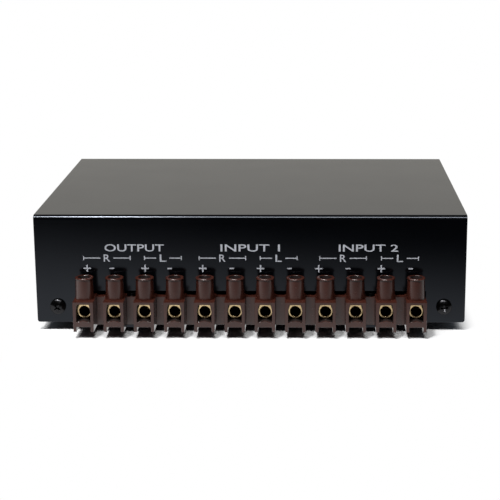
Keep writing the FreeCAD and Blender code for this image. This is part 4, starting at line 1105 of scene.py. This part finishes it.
def bore_profile(strip, floor, rim):
    """Rings of a guide's bore, from the tunnel to past its chamfered mouth."""
    bore, mouth = strip.guide_bore, strip.guide_bore + strip.lip * 0.2
    return [(bore, floor), (bore, rim - strip.lip * 0.2), (mouth, rim + strip.lip * 0.02),
            (mouth, rim + strip.lip_height)]


def terminal(strip, webs):
    """One terminal at x = 0, with half a web on each side that webs names (-1 left, 1 right)."""
    low, high = STRIP_LOW, STRIP_HIGH
    _, entry, roof = levels(strip)
    half, half_head, past = strip.foot / 2, strip.head / 2, strip.roof
    pole = add_block("terminal", (-half, low.y, low.z), (half, high.y, roof))
    edit(pole)
    pick(pole, "faces", faces_up)
    widen(half_head / half, STRIP_MIDDLE, roof)
    done()
    carve(pole, tunnel_cutter(strip, past),
          add_block("leg_gap", (-strip.tunnel / 2, low.y - past, low.z - past),
                    (strip.tunnel / 2, high.y + past, low.z + strip.leg)))
    end = strip.pitch / 2
    for side in webs:
        x = sorted((side * (half_head - strip.web_bite), side * (end + strip.web)))
        weld(pole, add_block("web", (x[0], STRIP_MIDDLE - strip.web / 2, low.z),
                             (x[1], STRIP_MIDDLE + strip.web / 2, roof - strip.web_drop)))
    round_edges(pole, strip.edge)

    guide = guide_profile(strip, roof, high.z)
    bore = bore_profile(strip, entry + strip.tunnel_taper, high.z)
    for y in guide_places(strip):
        weld(pole, turn_up("guide", guide, segments=56, centre=(0, y, 0)))
    for y in guide_places(strip):
        carve(pole, turn_up("guide_bore", bore, segments=56, centre=(0, y, 0)))
    # The webs were built too long, so that the mesh stayed closed, and end here.
    edit(pole)
    for side in webs:
        bpy.ops.mesh.select_all(action="SELECT")
        bpy.ops.mesh.bisect(plane_co=(side * end, 0, 0), plane_no=(side, 0, 0), clear_outer=True)
    done()
    return pole


class MakeStrip(bpy.types.Operator):
    """The brown moulding: hollow terminals with screwdriver guides, joined by webs"""
    bl_idname = "selector.make_strip"
    bl_label = "Terminal strip"

    def execute(self, context):
        strip = context.scene.selector_strip
        first = first_terminal_x(strip)
        left = move(terminal(strip, (1,)), first)
        right = move(terminal(strip, (-1,)), -first)
        inner = move(terminal(strip, (-1, 1)), first + strip.pitch)
        repeat_along_x(inner, strip.poles - 2, strip.pitch)
        moulding = join("strip_moulding", [inner, left, right])
        edit(moulding, "VERT", everything=True)
        bpy.ops.mesh.remove_doubles(threshold=strip.edge / 100)
        done()
        foot, top = STRIP_LOW.z - strip.roof, STRIP_LOW.z + strip.height * 1.5
        for x in fixing_places(strip):
            carve(moulding, add_rod("fixing_hole", strip.fixing_hole, (x, STRIP_MIDDLE, foot),
                                    (x, STRIP_MIDDLE, top)))
        smooth(moulding, degrees=40)
        stand_in(moulding, CASE, "strip_plastic", "moulding", "terminal_strip")

        sill, _, roof = levels(strip)
        room = strip.edge * 0.1

        def in_guide(at):
            off_axis = abs(at.y - STRIP_MIDDLE) - strip.guide_offset
            return math.hypot(from_terminal(strip, at.x), off_axis) < strip.guide_bore * ROOM

        def in_tunnel(at):
            beside = from_terminal(strip, at.x)
            return beside < strip.tunnel / 2 + room and sill - room < at.z < roof

        # Painted shade: the faces inside the guides' bores and the tunnels get the darkened brown.
        paint_bore_shade(moulding, "moulding_painted_shade", in_guide)
        paint_bore_shade(moulding, "moulding_painted_shade", in_tunnel)
        return {"FINISHED"}


class MakeSleeves(bpy.types.Operator):
    """A turned brass sleeve in each terminal, with a chamfered wire entry at both ends"""
    bl_idname = "selector.make_sleeves"
    bl_label = "Brass sleeves"

    def execute(self, context):
        strip = context.scene.selector_strip
        low, high = SLEEVES_LOW, SLEEVES_HIGH
        _, entry, roof = levels(strip)
        radius, chamfer = strip.entry + strip.sleeve_wall, strip.entry_chamfer
        play = strip.tunnel / 2 - radius
        flat_top = roof - strip.roof - play
        sleeve = add_rod("sleeve", radius, (0, low.y, entry), (0, high.y, entry), segments=72)
        # A little narrower than the tube, because faces that only touch don't join cleanly.
        weld(sleeve, house("shoulder", radius * 0.985, strip.sleeve_head / 2, (low.y, high.y),
                           (entry, entry + strip.tunnel_taper, flat_top)))
        round_edges(sleeve, chamfer * 0.4)
        for y in guide_places(strip):
            weld(sleeve, add_rod("collar", strip.collar, (0, y, entry + strip.entry),
                                 (0, y, high.z), segments=56))
        depth = (high.y - low.y) / 2 - strip.sleeve_stop / 2
        mouth = strip.entry + chamfer
        profile = [(strip.entry, 0.0), (strip.entry, depth - chamfer * 0.8), (mouth, depth),
                   (mouth, depth + chamfer)]
        for y, side, toward in zip(guide_places(strip), (-1, 1), ("-y", "y")):
            start = (0, STRIP_MIDDLE + side * strip.sleeve_stop / 2, entry)
            carve(sleeve, turn_up("entry", profile, centre=start, toward=toward),
                  add_rod("thread", strip.clamp, (0, y, entry), (0, y, high.z + chamfer),
                          segments=48))
        smooth(sleeve, degrees=40)
        move(sleeve, first_terminal_x(strip))
        repeat_along_x(sleeve, strip.poles, strip.pitch)
        sleeve.name = "brass_sleeves"
        stand_in(sleeve, CASE, "sleeve_brass", "brass", "terminal_sleeves")

        def in_entry(at):
            off_axis = math.hypot(from_terminal(strip, at.x), at.z - entry)
            return off_axis < strip.entry * ROOM

        # Painted shade: the faces inside the wire entries get the nearly black brass.
        paint_bore_shade(sleeve, "brass_painted_shade", in_entry)
        return {"FINISHED"}


def slotted_screw(strip, node, thread, head, head_height, segments):
    """A slotted screw as long as a node, with its tip at the origin and its head up."""
    low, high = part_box(node)
    top = high.z - low.z
    under, pitch = top - head_height, strip.thread
    # Depth of the thread, height of the tip's chamfer and rounding of the head.
    groove, point, edge = pitch * 0.45, thread * 0.22, head_height * 0.09
    profile = [(thread - point - groove, 0.0), (thread - point, point * 0.4), (thread, point)]
    for turn in range(int((under - point * 2) / pitch)):
        z = point + pitch * turn
        profile += [(thread, z + pitch * 0.15), (thread - groove, z + pitch * 0.5),
                    (thread, z + pitch * 0.85)]
    profile += [(thread, under), (head - edge, under), (head, under + edge),
                (head, top - edge * 1.6), (head - edge * 0.6, top - edge * 0.5),
                (head - edge * 2, top)]
    screw = turn_up("screw", profile, segments=segments)
    carve(screw, add_block("slot", (-head * 1.2, -strip.slot / 2, top - head_height / 2),
                           (head * 1.2, strip.slot / 2, top * 1.2)))
    return smooth(screw, degrees=30)


class MakeClampScrews(bpy.types.Operator):
    """Twelve slotted clamp screws, left open and at uneven turns"""
    bl_idname = "selector.make_clamp_screws"
    bl_label = "Clamp screws"

    def execute(self, context):
        strip = context.scene.selector_strip
        screw = slotted_screw(strip, CLAMP_SCREWS[0], strip.clamp - strip.thread_play,
                              strip.clamp_head, strip.clamp_head_height, segments=48)
        for index, name in enumerate(CLAMP_SCREWS):
            piece = copy_of(screw, name.replace("clamp_screw", "slotted_screw"))
            turn = (index * NEXT_SLOT_TURN + FIRST_SLOT_TURN) % 180
            piece.rotation_euler.z = math.radians(turn)
            settle(piece)
            set_down(piece, middle(name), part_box(name)[0].z)
            stand_in(piece, name.replace("clamp_screw", "terminal_screw"), "clamp_steel", "zinc",
                     name)
        drop(screw)
        return {"FINISHED"}


class MakeStripScrews(bpy.types.Operator):
    """Two slotted screws that hold the strip to the tray's tongues"""
    bl_idname = "selector.make_strip_screws"
    bl_label = "Strip screws"

    def execute(self, context):
        strip = context.scene.selector_strip
        low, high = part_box("strip_screws")
        head = (strip.pitch - strip.head) / 2 - strip.fixing_play
        screw = slotted_screw(strip, "strip_screws", strip.fixing, head,
                              strip.fixing_head_height, segments=40)
        screws = [move(copy_of(screw, "fixing"), x, (low.y + high.y) / 2, low.z)
                  for x in (low.x + head, high.x - head)]
        drop(screw)
        stand_in(join("strip_fixings", screws), CASE, "case_screw_black", "oxide", "strip_screws")
        return {"FINISHED"}


# ---------------------------------------------------------------- knob

def along_shaft(piece, y):
    """Lays a piece that was made upwards along the shaft, with its foot at y."""
    piece.rotation_euler.x = -math.pi / 2
    piece.location = (0, y, SHAFT_AXIS.z)
    return settle(piece)


def knob_profile(sizes):
    """Rings of the knob, from its bore through its hollow foot to its face."""
    # Corners are rounded by shares of the edge, and the grip leans in over its brow.
    edge, height = sizes.edge, KNOB_HEIGHT
    shoulder = sizes.skirt_height + (sizes.skirt - sizes.grip) / 2
    brow = height - (sizes.grip - sizes.crown)
    return [
        (sizes.bore, height - sizes.end_wall), (sizes.bore, sizes.hollow_depth),
        (sizes.hollow, sizes.hollow_depth), (sizes.hollow, edge), (sizes.hollow + edge, 0.0),
        (sizes.skirt - edge, 0.0), (sizes.skirt, edge), (sizes.skirt, sizes.skirt_height - edge),
        (sizes.skirt - edge * 0.7, sizes.skirt_height), (sizes.grip + edge, shoulder),
        (sizes.grip, shoulder + edge), (sizes.grip, brow - edge), (sizes.grip - edge / 2, brow),
        (sizes.crown + edge * 0.4, height - edge / 2), (sizes.crown - edge, height),
    ]


def flute_cutter(sizes):
    """A cutter for one groove of the grip, rounded at its foot."""
    x, foot = sizes.grip + sizes.flute * 0.4, sizes.skirt_height + sizes.flute * 2
    flute = add_rod("flute", sizes.flute, (x, 0, foot), (x, 0, KNOB_HEIGHT * 1.1), segments=20)
    bevel_edges(flute, lambda edge: close_to(edge_middle(edge).z, foot), sizes.flute * 0.7,
                segments=4)
    return flute


def pointer_block(name, sizes, top):
    """The pointer line as a block, from its groove's floor to a height over the knob's foot."""
    half = sizes.pointer / 2
    return add_block(name, (-half, sizes.flute - sizes.crown, KNOB_HEIGHT - sizes.pointer_depth),
                     (half, -sizes.crown / 4, top))


class MakeKnob(bpy.types.Operator):
    """The fluted knob, with a groove for its pointer and a hole for its grub screw"""
    bl_idname = "selector.make_knob"
    bl_label = "Knob"

    def execute(self, context):
        sizes = context.scene.selector_knob
        knob = turn_up("fluted_knob", knob_profile(sizes), segments=144)
        carve(knob, ring_of(flute_cutter(sizes), sizes.flutes))
        z = KNOB_HEIGHT - sizes.end_wall - sizes.grub_reach
        carve(knob, pointer_block("groove", sizes, KNOB_HEIGHT * 1.1),
              add_rod("grub_hole", sizes.grub, (0, 0, z), (0, sizes.skirt, z)))
        smooth(tidy_mesh(knob), degrees=32)
        along_shaft(knob, KNOB_LOW.y)
        stand_in(knob, SELECTOR, "knob_plastic", "knob", "knob")
        return {"FINISHED"}


class MakePointer(bpy.types.Operator):
    """The white line in the knob's face"""
    bl_idname = "selector.make_pointer"
    bl_label = "Pointer"

    def execute(self, context):
        sizes = context.scene.selector_knob
        inlay = pointer_block("pointer_inlay", sizes, KNOB_HEIGHT - sizes.inlay_sink)
        round_edges(inlay, sizes.inlay_sink * 2)
        along_shaft(inlay, KNOB_LOW.y)
        stand_in(inlay, SELECTOR, "pointer_white", "pointer", "knob_pointer")
        return {"FINISHED"}


class MakeGrubScrew(bpy.types.Operator):
    """The headless screw that holds the knob, with a hexagon socket"""
    bl_idname = "selector.make_grub_screw"
    bl_label = "Grub screw"

    def execute(self, context):
        low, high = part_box("knob_grub_screw")
        radius, tall = (high.x - low.x) / 2, high.z - low.z
        stud = turn_up("socket_screw", [
            (radius * 0.5, 0.0), (radius * 0.86, 0.0), (radius, radius * 0.14),
            (radius, tall - radius * 0.3), (radius * 0.7, tall)], segments=40)
        carve(stud, add_rod("socket", radius * 0.52, (0, 0, -radius), (0, 0, tall * 0.35),
                            segments=6))
        smooth(stud)
        set_down(stud, middle("knob_grub_screw"), low.z)
        stand_in(stud, SELECTOR, "switch_steel", "oxide", "knob_grub_screw")
        return {"FINISHED"}


class MakePanelNut(bpy.types.Operator):
    """The switch's nut on the front panel, with chamfered corners"""
    bl_idname = "selector.make_panel_nut"
    bl_label = "Panel nut"

    def execute(self, context):
        sizes = context.scene.selector_knob
        low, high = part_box("panel_nut")
        thick, corner = high.y - low.y, (high.x - low.x) / 2
        flats = corner * math.cos(math.pi / 6)
        nut = add_rod("hex_nut", corner, (0, 0, 0), (0, 0, thick), segments=6)
        edit(nut, everything=True)
        bpy.ops.transform.rotate(value=math.pi / 6, orient_axis="Z", center_override=(0, 0, 0))
        done()
        face, rounding = flats * 0.985, (corner - flats) * 0.55
        barrel = turn_up("barrel", [(face, 0.0), (corner, rounding), (corner, thick - rounding),
                                    (face, thick)], segments=72)
        combine(nut, [barrel], "INTERSECT")
        bore, edge = sizes.bush, sizes.edge
        carve(nut, turn_up("nut_bore", [(bore + edge * 2, -edge), (bore, edge),
                                        (bore, thick - edge), (bore + edge * 2, thick + edge)]))
        smooth(nut, degrees=30)
        along_shaft(nut, low.y)
        stand_in(nut, CASE, "switch_steel", "nickel", "panel_nut")
        return {"FINISHED"}


class MakeLockWasher(bpy.types.Operator):
    """The toothed washer under the panel nut"""
    bl_idname = "selector.make_lock_washer"
    bl_label = "Lock washer"

    def execute(self, context):
        sizes = context.scene.selector_knob
        low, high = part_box("lock_washer")
        thick, radius = high.y - low.y, (high.x - low.x) / 2
        bore, edge = sizes.bush + sizes.edge, thick * 0.2
        washer = turn_up("toothed_washer", [(bore, 0.0), (radius - edge, 0.0), (radius, edge),
                                            (radius, thick - edge), (radius - edge, thick)],
                         segments=72)
        carve(washer, add_rod("washer_bore", bore, (0, 0, -thick), (0, 0, thick * 2),
                              segments=64))
        gap = add_block("gap", (radius * 0.9, -thick * 0.4, -thick),
                        (radius * 1.1, thick * 0.4, thick * 2))
        carve(washer, ring_of(gap, sizes.washer_teeth))
        smooth(washer, degrees=30)
        along_shaft(washer, low.y)
        stand_in(washer, CASE, "switch_steel", "zinc", "lock_washer")
        return {"FINISHED"}


# ---------------------------------------------------------------- legends

def legend(text, width, height, ink, at, rear=True, weight=LETTER_WEIGHT):
    """Printed words with their middle at a place on the rear or front panel."""
    deselect()
    bpy.ops.object.text_add(location=(0, 0, 0))
    letters = bpy.context.object.data
    letters.body = text
    # Any thickness will do, because the ink's own is given below.
    letters.extrude = 0.5
    letters.offset = weight
    letters.resolution_u = 5
    bpy.ops.object.convert(target="MESH")
    piece = tidy_mesh(named("legend"))
    edit(piece, "VERT", everything=True)
    # The letters are still about a metre tall.
    bpy.ops.mesh.dissolve_degenerate(threshold=0.001)
    done()
    corners = [vertex.co for vertex in piece.data.vertices]
    low, high = (Vector([outermost(corner[axis] for corner in corners) for axis in range(3)])
                 for outermost in (min, max))
    size = high - low
    move(piece, *(-(low + high) / 2))
    piece.scale = (width / size.x, height / size.y, ink / size.z)
    settle(piece)
    piece.rotation_euler = (math.pi / 2, 0, 0 if rear else math.pi)
    piece.location = at
    return settle(piece)


def mark_lines(sizes, x, width):
    """Printed lines with end ticks, left and right of a channel's letter."""
    z = COVER_LOW.z + sizes.channel_z
    near, far = COVER_LOW.y + sizes.ink * INK_SUNK, COVER_LOW.y - sizes.ink * (1 - INK_SUNK)

    def strip_between(name, start, end, height):
        return add_block(name, (min(start, end), far, z - height / 2),
                         (max(start, end), near, z + height / 2))

    lines = []
    for side in (-1, 1):
        start, end = x + side * sizes.letter_room, x + side * width / 2
        line = strip_between("line", start, end, sizes.line)
        lines.append(weld(line, strip_between("tick", end - side * sizes.line, end, sizes.tick)))
    return lines


class MakeLegends(bpy.types.Operator):
    """Printed names and channel marks over the terminals, and numbers round the knob"""
    bl_idname = "selector.make_legends"
    bl_label = "Legends"

    def execute(self, context):
        sizes = context.scene.selector_legend
        ink, cap = sizes.ink, sizes.cap
        proud = ink * (0.5 - INK_SUNK)

        def row(name, places, texts, width, height, rise, extra=(), weight=LETTER_WEIGHT):
            y, z = COVER_LOW.y - proud, COVER_LOW.z + rise
            pieces = [legend(text, width, height, ink, (x * MM, y, z), weight=weight)
                      for x, text in zip(places, texts)]
            stand_in(join(name, [*pieces, *extra]), CASE, "pointer_white", "ink")

        row("headings", HEADING_X, (sizes.output, sizes.first, sizes.second),
            sizes.heading_width, cap, sizes.heading_z)
        for name, letter, places, width in (("right_marks", "R", RIGHT_X, sizes.right_width),
                                            ("left_marks", "L", LEFT_X, sizes.left_width)):
            lines = [line for x in places for line in mark_lines(sizes, x * MM, width)]
            row(name, places, letter * 3, sizes.letter_width, cap, sizes.channel_z, lines)
        row("plus_signs", PLUS_X, "+" * 6, sizes.plus, sizes.plus, sizes.sign_z,
            weight=PLUS_WEIGHT)
        row("minus_signs", MINUS_X, "-" * 6, sizes.minus, sizes.stroke, sizes.sign_z)

        numbers = []
        for text, steps, width in DIAL:
            turn = steps * sizes.step
            at = (SHAFT_AXIS.x + sizes.dial_radius * math.sin(turn), COVER_HIGH.y + proud,
                  SHAFT_AXIS.z + sizes.dial_radius * math.cos(turn))
            numbers.append(legend(text, cap * width, cap, ink, at, rear=False))
        stand_in(join("dial_numbers", numbers), CASE, "pointer_white", "ink")
        return {"FINISHED"}


# ---------------------------------------------------------------- what stays from the frame

# Finishes of the frame's own nodes, by how their names start; the rest are zinc.
FINISH_OF = {"switch_bushing": "nickel", "detent_spring": "spring", "switch_shaft": "nickel",
             "shaft_clip": "spring", "rear_wafer": "board", "front_wafer": "board",
             "rear_wafer_contacts": "silver", "rear_wafer_blades": "silver",
             "front_wafer_contacts": "silver", "front_wafer_blades": "silver",
             "wires": "insulation"}


class FinishInside(bpy.types.Operator):
    """Finishes for the switch, its wafers and the wires, inside the case"""
    bl_idname = "selector.finish_inside"
    bl_label = "Inside"

    def execute(self, context):
        for name, node in NODES.items():
            starts = [start for start in FINISH_OF if name.startswith(start)]
            finish_name = FINISH_OF[max(starts, key=len)] if starts else "zinc"
            for material_slot in node.material_slots:
                material_slot.material = finish_for(finish_name)
        return {"FINISHED"}


# ---------------------------------------------------------------- stage

def soft_light(name, at, target, size, watts):
    """A rectangular light at a place, aimed at a target."""
    deselect()
    bpy.ops.object.light_add(type="AREA", location=at)
    lamp = bpy.context.object
    lamp.name = name
    lamp.data.shape = "RECTANGLE"
    lamp.data.size, lamp.data.size_y = size
    lamp.data.energy = watts
    aim = Vector(target) - Vector(at)
    lamp.rotation_euler = aim.to_track_quat("-Z", "Y").to_euler()


def ray_kinds(tree):
    """Masks for what is in sight, also through glass; for reflections that no matt surface
    scattered on their way; and for what matt surfaces gather."""
    rays = tree.add("LightPath")
    in_sight = tree.calculate("MAXIMUM", rays["Is Camera Ray"], rays["Is Transmission Ray"])
    mirrored = tree.calculate("SUBTRACT", rays["Is Glossy Ray"], rays["Diffuse Depth"])
    return in_sight, mirrored, rays["Is Diffuse Ray"]


def paper(settings):
    """Pale paper. In sight it keeps the shadows and turns pure white further out, and in
    reflections it is a painted glow, no lamp, that darkens towards the front."""
    material = bpy.data.materials.new("floor_paper")
    material.use_nodes = True
    tree = Tree(material.node_tree, "Object")
    tree.nodes.remove(tree.nodes["Principled BSDF"])
    in_sight, mirrored, _ = ray_kinds(tree)

    fibre = tree.ranged(tree.noise(scale=90, detail=4.0), low=0.985, start=0.3, end=0.7)
    lift = tree.ranged(in_sight, settings.floor_bounce, settings.floor_lift)
    tint = tree.add("VectorMath", {"Vector": settings.floor,
                                   "Scale": tree.calculate("MULTIPLY", lift, fibre)},
                    operation="SCALE")["Vector"]
    matt = tree.add("BsdfDiffuse", {"Color": tint})["BSDF"]

    spot = tree.add("SeparateXYZ", {"Vector": tree.place})
    margin = settings.fade_margin
    fades = [tree.ramp(tree.calculate("ABSOLUTE", spot[axis]), 0.0, 1.0, start, start + width)
             for axis, start, width in (("X", COVER_HIGH.x - margin, settings.side_fade),
                                        ("Y", margin - STRIP_LOW.y, settings.front_fade))]
    white = tree.calculate("MULTIPLY", tree.calculate("MAXIMUM", *fades), in_sight)

    # Painted reflection: seen in reflections the floor is a glow, no lamp, that fades to dark towards
    # the front and leans to the right.
    slant = tree.calculate("MULTIPLY", spot["X"], settings.shine_slant)
    before = tree.calculate("SUBTRACT", slant, spot["Y"])
    shine = tree.glow(tree.ramp(before, settings.shine, 0.0, settings.shine_start,
                                settings.shine_end))
    surface = tree.blend(mirrored, tree.blend(white, matt, tree.glow(1.0)), shine)
    tree.feed(tree.nodes["Material Output"], {"Surface": surface})
    return material


def surroundings(world, settings):
    """White in sight. In reflections pale low behind the object and dark elsewhere, and on
    matt surfaces a soft light that comes mostly from behind."""
    world.use_nodes = True
    tree = Tree(world.node_tree, "Generated")
    in_sight, mirrored, gathered = ray_kinds(tree)
    way = tree.add("SeparateXYZ", {"Vector": tree.place})
    behind = tree.ramp(way["Y"], low=0.0, high=1.0, start=-0.1, end=0.6)
    low_down = tree.ramp(way["Z"], low=1.0, high=0.1, start=0.3, end=0.55)
    pale = tree.calculate("MAXIMUM", tree.calculate("MULTIPLY", behind, low_down),
                          settings.gloss_least)
    gloss = tree.calculate("MULTIPLY", pale, settings.gloss_light)
    matt = tree.ramp(way["Y"], settings.matt_light * settings.matt_front, settings.matt_light,
                     start=-0.2, end=0.8)
    level = tree.mixed(mirrored, matt, gloss, "FLOAT")
    tint = tree.mixed(mirrored, (1.0, 1.0, 1.0, 1.0), (*settings.gloss_tint, 1.0))
    tint = tree.mixed(gathered, tint, (*settings.matt_tint, 1.0))
    tree.feed(tree.nodes["Background"], {
        "Color": tint, "Strength": tree.calculate("MAXIMUM", level, in_sight)})


class MakeStage(bpy.types.Operator):
    """Pale floor, soft lights, white surroundings and the camera"""
    bl_idname = "selector.make_stage"
    bl_label = "Stage"

    def execute(self, context):
        scene = context.scene
        settings = scene.selector_stage
        deselect()
        bpy.ops.mesh.primitive_plane_add(size=settings.floor_size)
        floor = named("floor")
        floor.data.materials.append(paper(settings))

        target = (0, COVER_LOW.y, COVER_LOW.z)
        soft_light("key_softbox", settings.key_place, target, settings.key_size,
                   settings.key_light)
        soft_light("strip_softbox", settings.strip_place, target, settings.strip_size,
                   settings.strip_light)
        scene.world = scene.world or bpy.data.worlds.new("studio")
        surroundings(scene.world, settings)

        deselect()
        bpy.ops.object.camera_add(
            location=settings.camera_place,
            rotation=(math.pi / 2 - settings.pitch, 0, settings.yaw))
        scene.camera = bpy.context.object
        camera = scene.camera.data
        camera.lens, camera.sensor_width = settings.lens, settings.sensor
        camera.shift_x, camera.shift_y = settings.shift
        scene.view_settings.view_transform = "Standard"
        return {"FINISHED"}


# ---------------------------------------------------------------- add-on

OPERATORS = (MakeCover, MakeTray, MakeFeet, MakeCaseScrews, MakeStrip, MakeSleeves,
             MakeClampScrews, MakeStripScrews, MakeKnob, MakePointer, MakeGrubScrew,
             MakePanelNut, MakeLockWasher, MakeLegends, FinishInside, MakeStage)


class SelectorPanel(bpy.types.Panel):
    """A button for each operator, and the sizes and colours that they read"""
    bl_label = "Speaker Selector"
    bl_idname = "VIEW3D_PT_speaker_selector"
    bl_space_type = "VIEW_3D"
    bl_region_type = "UI"
    bl_category = "Selector"

    def draw(self, context):
        for operator in OPERATORS:
            self.layout.operator(operator.bl_idname)
        for group, sizes in GROUPS.items():
            box = self.layout.box()
            for name in sizes.__annotations__:
                box.prop(getattr(context.scene, group), name)


def register():
    for sizes in GROUPS.values():
        bpy.utils.register_class(sizes)
    for operator in OPERATORS:
        bpy.utils.register_class(operator)
    bpy.utils.register_class(SelectorPanel)
    for group, sizes in GROUPS.items():
        setattr(bpy.types.Scene, group, PointerProperty(type=sizes))


def unregister():
    for group in GROUPS:
        delattr(bpy.types.Scene, group)
    bpy.utils.unregister_class(SelectorPanel)
    for part in (*OPERATORS, *GROUPS.values()):
        bpy.utils.unregister_class(part)


def main():
    register()
    for operator in OPERATORS:
        group, name = operator.bl_idname.split(".")
        getattr(getattr(bpy.ops, group), name)()


if __name__ == "__main__":
    main()
